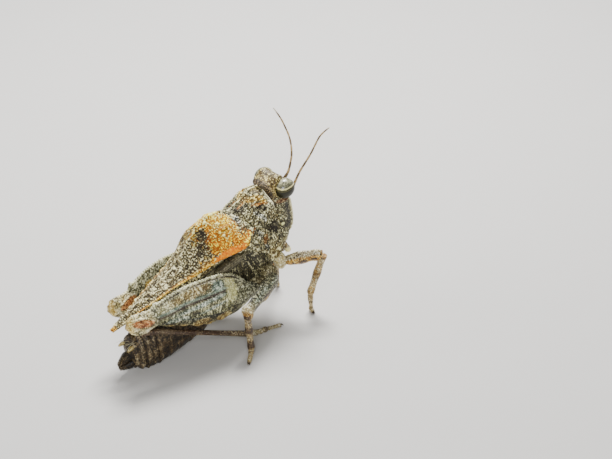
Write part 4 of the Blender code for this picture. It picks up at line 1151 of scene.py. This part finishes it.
def thighAxis(sideName, t):
    hip, knee = (np.array(p) for p in thigh["ends"][sideName])
    along = (knee - hip) / np.linalg.norm(knee - hip)
    upward = np.array([along[2], 0, -along[0]])
    t = np.asarray(t, float)[..., None]
    held = np.clip(t, 0, 1)
    bow = np.array([0, sides[sideName] * thigh["bow"], 0])
    centre = hip + (knee - hip) * t + bow * 4 * held * (1 - held)
    return centre, upward / np.linalg.norm(upward)


def makeThigh(sideName, look):
    spec = thigh
    sign = sides[sideName]
    t = np.linspace(0, spec["rows"][-1][0], spec["ringCount"])
    above, below, half = readRows(spec["rows"], t).T
    centre, upward = thighAxis(sideName, t)
    r, u = roundedBox(turns(spec["ringPoints"]), 1.7)
    level = np.where(u > 0, above[:, None], below[:, None]) * u
    thick = half[:, None] * r * sign
    grid = centre[:, None] + level[..., None] * upward + np.stack([0 * thick, thick, 0 * thick], -1)
    along = t[:, None] + 0 * u
    outside = smooth(sign * grid[..., 1] - sign * centre[:, None, 1], 0.02, 0.12)
    shaft = smooth(along, 0.14, 0.24) * smooth(0.93 - along, 0.0, 0.06)
    relief, tone = hornRelief(grid, spec["grainSize"], spec["grainHeight"], 511, 0.24, 0.02, 0.25)
    lift = relief * (1 - 0.65 * shaft * outside)
    ridgeAt, lowAt = readRows(spec["ridge"], t).T[..., None]
    fromRidge = level - ridgeAt
    ridge = bumpAt(fromRidge, 0.02, 0.05)
    lowRidge = bumpAt(level, lowAt, 0.045)
    lift += shaft * outside * (0.065 * ridge + 0.05 * lowRidge)
    lift -= shaft * outside * 0.05 * (bumpAt(fromRidge, -0.07, 0.045) + bumpAt(level - lowAt, -0.08, 0.05))
    # slanting ribs that meet at the long rib, uneven and broken
    slant = np.abs(fromRidge) * 0.034 + 0.03 * (roughNoise(grid, 0.45, 541) - 0.5)
    slanted = along - slant * np.where(fromRidge > 0, 1.0, 1.25)
    streaks = roughNoise(np.stack([slanted * 6.1, 0.2 * level, 0 * level], -1), 0.1, 547, 3, 0.7)
    broken = smooth(roughNoise(grid, 0.22, 543), 0.4, 0.6)
    ribs = 0.45 * np.sin(2 * math.pi * spec["chevrons"] * slanted) * broken + 3.2 * (streaks - 0.5)
    ribZone = shaft * outside * smooth(np.abs(fromRidge), 0.08, 0.2) * smooth(along, 0.26, 0.3)
    lift += spec["chevronHeight"] * ribs * ribZone * smooth(above[:, None] - level, 0.08, 0.25)
    # top keels: one on the edge, finely toothed, and one a little below it
    teeth = 0.62 + 0.38 * np.sin(along * 300)
    topEdge = smooth(u, 0.93, 1.0)[None] * smooth(along, 0.08, 0.2)
    lift += 0.05 * teeth * topEdge * smooth(1.0 - along, 0.0, 0.1)
    second = bumpAt(above[:, None] - level, 0.15, 0.035) * shaft * outside
    lift += 0.045 * second
    lift += 0.14 * bumpAt(along, 0.9, 0.018) * topEdge                 # tooth before the knee
    # lower edge with low lobes
    lowEdge = smooth(-u, 0.8, 0.98)[None]
    for where, height in spec["lobes"]:
        lift += height * bumpAt(along, where, 0.035) * lowEdge
    lift += 0.025 * lowEdge * shaft
    # knee: a sunk moon-shaped plate with a raised border, and a lobe under it
    outer = sign * (grid[..., 1] - centre[:, None, 1]) > 0
    middle, slope = np.where(outer, 1.025, 0.97), np.where(outer, -0.9, 1.1)
    kneeR = np.hypot((along - middle) / 0.1, (level - 0.23 + slope * (along - middle)) / 0.2)
    kneeSide = smooth(np.abs(grid[..., 1] - centre[:, None, 1]), 0.02, 0.12)
    lift += kneeSide * (0.045 * bumpAt(kneeR, 1.12, 0.16) + 0.02 * smooth(1 - kneeR, 0, 0.6))
    lift += 0.02 * bumpAt(level, -0.27, 0.05) * smooth(along, 0.96, 1.0) * outside
    grid = push(grid, lift)
    wobble = 0.8 * (roughNoise(grid, 0.3, 531) - 0.5) + 1.1 * (roughNoise(grid, 0.11, 533, 3, 0.7) - 0.5)
    lobesPale = sum(bumpAt(along, where, 0.032) for where, _ in spec["lobes"]) * smooth(-u, 0.8, 0.95)[None]
    faces = {"outer": outside, "inner": 1 - outside, "both": 1}
    patches = {name: blotches(along, level, spots, ragged * wobble) * faces[face]
               for name, (face, ragged, spots) in spec["patches"].items()}
    onLine = 1.3 * bumpAt(fromRidge, -0.045, 0.075) * smooth(along, 0.3, 0.36)
    underEdge = 1.2 * bumpAt(above[:, None] - level, 0.085, 0.045) * smooth(along, 0.12, 0.2)
    underRib = bumpAt(level - lowAt, -0.1, 0.07) * smooth(along, 0.3, 0.36) * smooth(0.72 - along, 0, 0.1)
    lowPart = smooth(lowAt + 0.16 - level, 0.25 * wobble, 0.22 + 0.25 * wobble)
    lowPart = lowPart * shaft * (1.0 + 0.8 * wobble)
    edging = bumpAt(fromRidge, 0.075, 0.05) * shaft * outside * smooth(along, 0.3, 0.36)
    grainHere = (0.8 - 0.4 * shaft * outside) * tone + 0.3 * ribs * ribZone + 0.7 * wobble + 0.18
    masks = {
        **patches,
        "height": np.clip(grainHere + 0.3 * topEdge * (teeth > 0.7), 0, 1),
        "field": ribZone * (0.9 + 0.5 * wobble),
        "rear": smooth(along, 0.7, 0.88) * smooth(level, 0.1, 0.4) * (0.8 + wobble) * shaft * outside,
        # gloss: the top keel and the second keel's teeth painted pale, a painted highlight; the raised tone
        # on the tooth tops adds to it
        "gloss": np.clip(0.9 * second * (teeth > 0.55) + 0.9 * topEdge, 0, 1) * (0.8 + wobble),
        "edging": edging * (0.9 + wobble),
        "line": np.clip(onLine + underEdge, 0, 1) * shaft * outside,
        "shade": np.maximum(patches["shade"], underRib * outside),
        "lobe": np.clip(lobesPale + wobble * 0.3, 0, 1),
        "dull": np.clip(lowPart + patches["dull"], 0, 1),
        "cream": np.clip(smooth(along, 0.92, 0.965) * (0.75 + wobble) * smooth(along, 0.9, 0.95), 0, 1),
        "moon": smooth(0.98 - kneeR + 0.3 * wobble, -0.02, 0.18) * kneeSide,
        "rimPale": np.clip(bumpAt(kneeR, 1.22, 0.2) * kneeSide * smooth(along, 0.9, 0.96), 0, 1) * 0.9,
        "tip": smooth(along, 1.09, 1.12) * 0.8,
        "root": smooth(0.17 - along + 0.1 * wobble, 0.0, 0.05) * (0.8 + wobble),
    }
    shellPiece(f"thigh_{sideName}", [(grid, masks)], look, [f"femur_hind_{sideName}"])


def thighLook():
    return maskedLook("thighHorn", ((0.03, 0.028, 0.015), (0.3, 0.3, 0.18), (0.78, 0.77, 0.5)), [
        ("field", ((0.035, 0.036, 0.018), (0.34, 0.34, 0.17), (0.86, 0.84, 0.48)), 1.0),
        ("dull", ((0.005, 0.004, 0.002), (0.032, 0.029, 0.015), (0.3, 0.29, 0.16)), 1.0),
        ("root", ((0.02, 0.018, 0.011), (0.22, 0.215, 0.135), (0.88, 0.87, 0.6)), 1.0),
        ("teal", ((0.018, 0.026, 0.022), (0.12, 0.165, 0.13), (0.58, 0.68, 0.52)), 0.9),
        ("band", ((0.2, 0.19, 0.07), (0.76, 0.74, 0.34), (1.0, 1.0, 0.62)), 0.7),
        ("blue", ((0.06, 0.085, 0.07), (0.46, 0.56, 0.46), (0.94, 1.0, 0.86)), 1.0),
        ("warm", ((0.1, 0.06, 0.02), (0.58, 0.45, 0.19), (1.0, 0.94, 0.56)), 1.0),
        ("brown", ((0.05, 0.028, 0.008), (0.3, 0.2, 0.06), (0.8, 0.66, 0.28)), 1.0),
        ("amber", ((0.2, 0.09, 0.01), (0.8, 0.5, 0.06), (1.0, 0.86, 0.3)), 0.8),
        ("shade", ((0.005, 0.005, 0.004), (0.03, 0.028, 0.02), (0.3, 0.32, 0.24)), 0.8),
        ("rear", ((0.11, 0.105, 0.05), (0.72, 0.7, 0.38), (1.0, 1.0, 0.68)), 0.9),
        ("edging", ((0.08, 0.12, 0.1), (0.34, 0.45, 0.38), (0.74, 0.86, 0.7)), 0.7),
        ("line", ((0.012, 0.008, 0.008), (0.045, 0.03, 0.028), (0.24, 0.2, 0.16)), 0.7),
        # gloss: painted highlight on the top keels
        ("gloss", ((0.1, 0.09, 0.04), (0.7, 0.68, 0.38), (1.0, 1.0, 0.7)), 0.8),
        ("rimPale", ((0.28, 0.22, 0.1), (0.74, 0.66, 0.38), (0.95, 0.9, 0.62)), 0.5),
        ("lobe", ((0.11, 0.065, 0.015), (0.42, 0.29, 0.09), (0.74, 0.62, 0.3)), 0.8),
        ("cream", ((0.03, 0.018, 0.006), (0.52, 0.42, 0.17), (1.0, 0.92, 0.54)), 0.95),
        ("pearl", ((0.2, 0.15, 0.06), (0.8, 0.74, 0.46), (1.0, 1.0, 0.84)), 0.6),
        ("moon", ((0.06, 0.016, 0.005), (0.4, 0.125, 0.034), (0.92, 0.5, 0.19)), 0.8),
        ("tip", ((0.16, 0.09, 0.01), (0.66, 0.44, 0.08), (1.0, 0.86, 0.32)), 0.7),
    ], roughness=0.5, coat=0.12)


def clawPair(root, ahead, length, radius):
    ahead = ahead / np.linalg.norm(ahead)
    across = np.cross(ahead, straightDown)
    parts = []
    for sign in (1, -1):
        way = ahead + sign * 0.42 * across
        middle = root + way * length * 0.6 - 0.02 * straightDown
        tip = root + way * length + straightDown * length * 0.35
        hook = aboveFloor(rod([root, middle, tip], [radius, radius * 0.75, radius * 0.15], 14, 8)[0], 0.004)
        parts.append((hook, {"dark": 0.8}))
    return parts


def shinSpines(start, end, first, span, count, lean, across, length, radius, cream):
    # two rows of thorns down a shin, leaning away from the knee and to either side
    parts = []
    for k in range(count):
        base = start + (end - start) * (first + span * k / (count - 1))
        for sign in (1, -1):
            way = lean + sign * across
            way = way / np.linalg.norm(way)
            root = base + way * 0.08
            parts.append((thorn(root, root + way * length, radius), {"cream": cream}))
    return parts


def lowered(point, clear):                      # the point moved to this height above the floor
    world = toWorld(np.array(point, float))
    world[2] = clear
    return toBody(world)


def makeHindShank(sideName, look):
    sign = sides[sideName]
    ends = []
    for where, drop in ((shin["start"], shin["startDrop"]), (shin["end"], shin["endDrop"])):
        centre, upward = thighAxis(sideName, where)
        ends.append(centre - upward * drop + np.array([0, sign * shin["out"], 0]))
    headAt, headDrop = shin["head"]
    kneeCentre, upward = thighAxis(sideName, headAt)
    head = kneeCentre - upward * headDrop
    path = [head, *(ends[0] + share * (ends[1] - ends[0]) for share in (0, 0.33, 0.66, 1))]
    grid, t, _ = rod(path, shin["radii"], 200, 40, power=2.4)
    relief, tone = hornRelief(grid, 0.06, 0.007, 551)
    grid = push(grid, relief)
    rust = np.clip(0.75 + 0.5 * (roughNoise(grid, 0.4, 553) - 0.5), 0, 1)
    # rust darkens the shin to a deep red-brown: partly its own colour, partly painted shade under the thigh
    masks = {"height": tone, "rust": rust * smooth(0.9 - t, 0, 0.2),
             "dark": bumpAt(t, 0.24, 0.04) * 0.7 + bumpAt(t, 0.98, 0.05) * 0.6,
             "cream": bumpAt(t, 0.36, 0.05) * 0.6}
    way = (ends[1] - ends[0]) / np.linalg.norm(ends[1] - ends[0])
    spines = shinSpines(*ends, 0.3, 0.62, shin["spines"], -upward * 0.75 + way * 0.9,
                        np.array([0, 0.55, 0]), shin["spineLength"], 0.028, 0.3)
    shellPiece(f"hindShin_{sideName}", [(grid, masks), *spines], look,
               [f"tibia_hind_{sideName}"])
    start = ends[1]
    tip = start + floorWay * hindFoot["ahead"] + np.array([0, sign * hindFoot["out"], 0])
    path = [start, *(lowered(start + share * (tip - start), clear) for share, clear in hindFoot["steps"])]
    grid, t, angle = rod(path, hindFoot["radii"], 150, 32, power=2.2)
    joints = bumpAt(t, 0.46, 0.02) + bumpAt(t, 0.6, 0.02)
    pads = bumpAt(t, 0.16, 0.07) + bumpAt(t, 0.29, 0.05) + bumpAt(t, 0.4, 0.05)
    relief, tone = hornRelief(grid, 0.05, 0.005, 561)
    grid = push(grid, relief - 0.035 * joints)
    grid = grid + (0.05 * pads * smooth(-np.sin(angle), 0.2, 0.8))[..., None] * straightDown
    grid = aboveFloor(grid)
    masks = {"height": tone, "cream": 0.5 + 0.2 * np.sin(t * 9),
             "dark": np.clip(0.7 * bumpAt(t, 0.55, 0.05) + 0.5 * smooth(t, 0.85, 1), 0, 1)}
    claws = clawPair(path[-1], floorWay + np.array([0, sign * 0.15, 0]), 0.15, 0.032)
    shellPiece(f"hindFoot_{sideName}", [(grid, masks), *claws], look,
               [f"tarsus_hind_{sideName}"])


# fore and middle legs

walkingLegs = {
    # hip, knee, ankle, heel and claw tip
    "joints": {
        "fore_right": [(-0.16, 1.04, -3.8), (0.95, 2.04, -3.84), (-0.05, 1.56, -5.68), (-0.3, 1.62, -6.36),
                       (-0.46, 1.94, -6.46)],
        "fore_left": [(-0.16, -1.04, -3.8), (0.92, -1.9, -3.95), (0.24, -1.1, -5.45), (-0.02, -1.04, -6.36),
                      (0.1, -1.4, -6.52)],
        "mid_right": [(-1.66, 1.5, -3.68), (-4.08, 2.66, -3.1), (-4.46, 2.62, -4.98), (-4.76, 2.86, -5.12),
                      (-5.16, 3.22, -5.06)],
        "mid_left": [(-1.66, -1.5, -3.68), (-3.98, -2.66, -3.16), (-4.3, -2.62, -5.02),
                     (-4.58, -2.87, -5.16), (-4.98, -3.24, -5.12)],
    },
    "femurHalf": {"fore": (0.18, 0.27, 0.31, 0.3, 0.27, 0.28, 0.21),
                  "mid": (0.24, 0.34, 0.36, 0.33, 0.27, 0.29, 0.22)},
    "flatten": 0.72,
    "shinHalf": (0.19, 0.175, 0.18, 0.165, 0.165, 0.15),
    "footHalf": (0.12, 0.13, 0.12, 0.09, 0.105, 0.1, 0.07),
    "lobes": 3, "lobeHeight": 0.035, "lobePhase": {"fore": 0.6, "mid": 1.7}, "spines": 5,
    # bands of the shin: how many radians of wave, where it starts, where dark begins, then how pale,
    # dark, speckled and golden
    "bands": {"fore": (15.0, 0.4, -0.1, 0.9, 0.35, 0.0, 0.6), "mid": (19.0, -0.9, 0.2, 0.42, 1.0, 2.5, 0.25)},
}


def makeWalkingLeg(name, joints, look):
    spec = walkingLegs
    hip, knee, ankle, heel, claw = (np.array(p, float) for p in joints)
    kind = name.split("_")[0]
    fore = kind == "fore"
    towards = (knee - hip) / np.linalg.norm(knee - hip)
    bend = 0.5 * (hip + knee) + np.array([0, 0, 0.06])
    grid, t, angle = rod([hip - 0.26 * towards, bend, knee - 0.02 * towards],
                         spec["femurHalf"][kind], 190, 64, spec["flatten"], 1.8)
    up = np.sin(angle)
    relief, tone = hornRelief(grid, 0.07, 0.01, 611, 0.18, 0.014, 0.25)
    edges = smooth(up, 0.86, 1.0) + smooth(-up, 0.86, 1.0)
    waves = 0.5 + 0.5 * np.sin(2 * math.pi * spec["lobes"] * t + spec["lobePhase"][kind])
    lobes = spec["lobeHeight"] * waves * smooth(t, 0.1, 0.25) * smooth(0.92 - t, 0, 0.1)
    lift = relief + edges * (0.02 + lobes)
    lift += 0.025 * bumpAt(up, 0.25, 0.12) * smooth(t, 0.15, 0.3) * smooth(0.88 - t, 0, 0.1)
    lift -= 0.03 * bumpAt(t, 0.87, 0.02)
    if not fore:
        lift += 0.12 * bumpAt(t, 0.935, 0.075) + 0.05 * edges * bumpAt(t, 0.4, 0.07)
    grid = push(grid, lift)
    wobble = roughNoise(grid, 0.25, 621) - 0.5
    knuckle = smooth(t, 0.86, 0.92)
    blots = bumpAt(t, 0.42, 0.08) * bumpAt(up, -0.3, 0.3) + bumpAt(t, 0.68, 0.07) * bumpAt(up, -0.2, 0.28)
    fine = roughNoise(grid, 0.1, 623, 3, 0.7) - 0.5
    if fore:
        golden = smooth(-up, -0.62, -0.35) + knuckle + wobble + fine
        masks = {"height": np.clip(tone + 0.5 * wobble, 0, 1),
                 # cream on the upper side of the fore thigh: its pale colour, partly a painted highlight
                 "cream": np.clip(smooth(up, 0.15, 0.45) * (1.0 + 2.2 * fine) + 1.5 * fine, 0, 1),
                 "gold": np.clip(golden, 0, 1) * (1 - smooth(up, 0.55, 0.7)),
                 "dark": np.clip(blots * (2.4 + 6 * fine) + 1.6 * smooth(fine, 0.1, 0.16), 0, 1),
                 "peach": 0.7 * knuckle}
    else:
        # bluish-white streak along the upper side of the mid thigh: painted highlight
        bluishHighlight = bumpAt(up, 0.55, 0.25) * smooth(0.8 - t, 0, 0.15) * (0.45 + 4.0 * fine)
        masks = {"height": np.clip(tone + 0.5 * wobble, 0, 1), "grey": np.clip(1.0 - knuckle, 0, 1),
                 "blue": np.clip(bluishHighlight, 0, 0.8),
                 "peach": knuckle * np.clip(0.35 - 0.6 * up + wobble, 0, 1),
                 "dark": 0.9 * np.clip(blots * (1.4 + 4 * fine), 0, 1),
                 "cream": np.clip(knuckle * 0.9 + 0.5 * smooth(t, 0.72, 0.84), 0, 1),
                 "gold": 0.9 * bumpAt(t, 0.4, 0.07) * bumpAt(up, -0.8, 0.35)}
    shellPiece(f"thigh_{name}", [(grid, masks)], look, [f"femur_{name}"])
    down = (ankle - knee) / np.linalg.norm(ankle - knee)
    sideways = np.cross(down, towards)
    sideways /= np.linalg.norm(sideways)
    path = [knee + 0.02 * down, 0.5 * (knee + ankle), ankle + 0.02 * down]
    grid, t, _ = rod(path, spec["shinHalf"], 150, 40, 0.9, 2.3, towards)
    relief, tone = hornRelief(grid, 0.06, 0.007, 631)
    grid = push(grid, relief + 0.015 * np.sin(t * 16))
    fine = roughNoise(grid, 0.1, 633, 3, 0.7) - 0.5
    rate, phase, low, pale, dark, speckle, gold = spec["bands"][kind]
    bands = smooth(np.sin(t * rate + phase) + 3.0 * fine, low, 0.5)
    masks = {"height": tone, "cream": np.clip(pale - 0.7 * bands + 2 * fine, 0, 1),
             "dark": np.clip(bands * dark + speckle * fine, 0, 1),
             "gold": np.clip(gold * (0.6 + 4 * fine), 0, 1), "peach": smooth(0.12 - t, 0, 0.05) * 0.7}
    if name == "fore_left":
        masks.update(peach=0.9, dark=0.15 * bands)
    spines = shinSpines(knee, ankle, 0.4, 0.56, spec["spines"], -towards * 0.8 + down * 0.9, sideways * 0.6,
                        0.12, 0.02, 0.5)
    shellPiece(f"shin_{name}", [(grid, masks), *spines], look, [f"tibia_{name}"])
    heelDown, clawDown = lowered(heel, 0.13), lowered(claw, 0.085)
    if fore:
        path = [ankle, 0.45 * ankle + 0.55 * heelDown, heelDown, clawDown]
    else:
        path = [ankle, lowered(0.5 * (ankle + heel), 0.15), lowered(heel, 0.12), clawDown]
    grid, t, _ = rod(path, spec["footHalf"], 110, 30, 0.95, 2.2, towards)
    relief, tone = hornRelief(grid, 0.05, 0.005, 641)
    grid = aboveFloor(push(grid, relief - 0.03 * bumpAt(t, 0.34, 0.02)))
    masks = {"height": tone, "cream": 0.7, "gold": 0.2,
             "dark": 0.7 * np.clip(bumpAt(t, 0.34, 0.04) + smooth(t, 0.88, 1), 0, 1)}
    claws = clawPair(clawDown, clawDown - heelDown, 0.1, 0.03)
    shellPiece(f"foot_{name}", [(grid, masks), *claws], look, [f"tarsus_{name}"])


def makeLegs():
    look = thighLook()
    legLook = maskedLook("legHorn", ((0.035, 0.02, 0.01), (0.22, 0.155, 0.075), (0.62, 0.52, 0.32)), [
        ("grey", ((0.01, 0.009, 0.005), (0.11, 0.1, 0.052), (0.74, 0.72, 0.42)), 1.0),
        ("cream", ((0.16, 0.115, 0.045), (0.76, 0.67, 0.4), (1.0, 1.0, 0.82)), 0.75),
        # bluish-white painted highlight on the mid thighs, bluish patches on the hind thighs
        ("blue", ((0.08, 0.1, 0.08), (0.5, 0.56, 0.44), (0.94, 1.0, 0.84)), 0.9),
        ("gold", ((0.14, 0.05, 0.006), (0.8, 0.42, 0.035), (1.0, 0.84, 0.28)), 0.8),
        ("peach", ((0.2, 0.07, 0.01), (0.62, 0.34, 0.07), (0.98, 0.8, 0.4)), 0.9),
        ("rust", ((0.012, 0.005, 0.003), (0.045, 0.018, 0.008), (0.14, 0.07, 0.03)), 0.6),
        ("dark", ((0.012, 0.007, 0.004), (0.05, 0.026, 0.012), (0.22, 0.14, 0.07)), 0.7),
    ], roughness=0.48, coat=0.12)
    for sideName in sides:
        makeThigh(sideName, look)
        makeHindShank(sideName, legLook)
    for name, joints in walkingLegs["joints"].items():
        makeWalkingLeg(name, joints, legLook)


makeLegs()
print("grasshopper: six legs made")

# stage

studio = {
    "aim": (3.46, -2.44, 4.91), "toCamera": (-0.5565, -0.6671, 0.4953),
    "cameraUp": (0.3446, 0.3571, 0.8682),
    "distance": 120.0, "lens": 158.68, "sensorWidth": 36.0, "clip": (0.002, 5.0),
    "sky": (0.86, 0.9, 0.96), "skyStrength": 0.2,
    # where each soft light stands and looks, in millimetres, its size and its power in watts
    "lights": [((26, 24, 62), (0, 0, 3), 26, 0.135), ((-44, -52, 40), (0, 0, 4), 34, 0.046),
               ((-50, 40, 30), (0, 0, 3), 30, 0.012)],
    "floorColour": (0.58, 0.565, 0.54), "floorSize": 0.6,
}


def makeStage():
    spec = studio
    half = spec["floorSize"] / 2
    mesh = bpy.data.meshes.new("floor")
    mesh.from_pydata([(-half, -half, 0), (half, -half, 0), (half, half, 0), (-half, half, 0)], [],
                     [(0, 1, 2, 3)])
    floor = bpy.data.objects.new("floor", mesh)
    bpy.context.scene.collection.objects.link(floor)
    look = newLook("floorPaint", 0.9)
    w = Wiring(look.node_tree)
    speck = w.noise(w.node("ShaderNodeTexCoord").outputs["Object"], 0.004, 3.0, 0.5)
    colour = spec["floorColour"]
    w.join(w.mix(speck, tuple(c * 0.97 for c in colour), colour),
           look.node_tree.nodes["Principled BSDF"].inputs["Base Color"])
    mesh.materials.append(look)
    world = bpy.data.worlds.new("softRoom")
    world.use_nodes = True
    background = world.node_tree.nodes["Background"]
    background.inputs["Color"].default_value = (*spec["sky"], 1.0)
    background.inputs["Strength"].default_value = spec["skyStrength"]
    bpy.context.scene.world = world
    for k, (stand, aim, size, power) in enumerate(spec["lights"]):
        light = bpy.data.lights.new(f"softLight{k}", "AREA")
        light.size = size * mm
        light.energy = power
        lamp = bpy.data.objects.new(f"softLight{k}", light)
        lamp.location = Vector(stand) * mm
        lamp.rotation_euler = (Vector(aim) - Vector(stand)).to_track_quat("-Z", "Y").to_euler()
        bpy.context.scene.collection.objects.link(lamp)


def makeCamera():
    spec = studio
    back = Vector(spec["toCamera"]).normalized()
    up = (Vector(spec["cameraUp"]) - back * Vector(spec["cameraUp"]).dot(back)).normalized()
    right = up.cross(back)
    data = bpy.data.cameras.new("viewCamera")
    data.lens = spec["lens"]
    data.sensor_width = spec["sensorWidth"]
    data.clip_start, data.clip_end = spec["clip"]
    camera = bpy.data.objects.new("viewCamera", data)
    bpy.context.scene.collection.objects.link(camera)
    turn = np.eye(4)
    turn[:3, 0], turn[:3, 1], turn[:3, 2] = right, up, back
    turn[:3, 3] = (Vector(spec["aim"]) + back * spec["distance"]) * mm
    camera.matrix_world = Matrix(turn.tolist())
    bpy.context.scene.camera = camera


makeStage()
makeCamera()
print("grasshopper: stage and camera set")
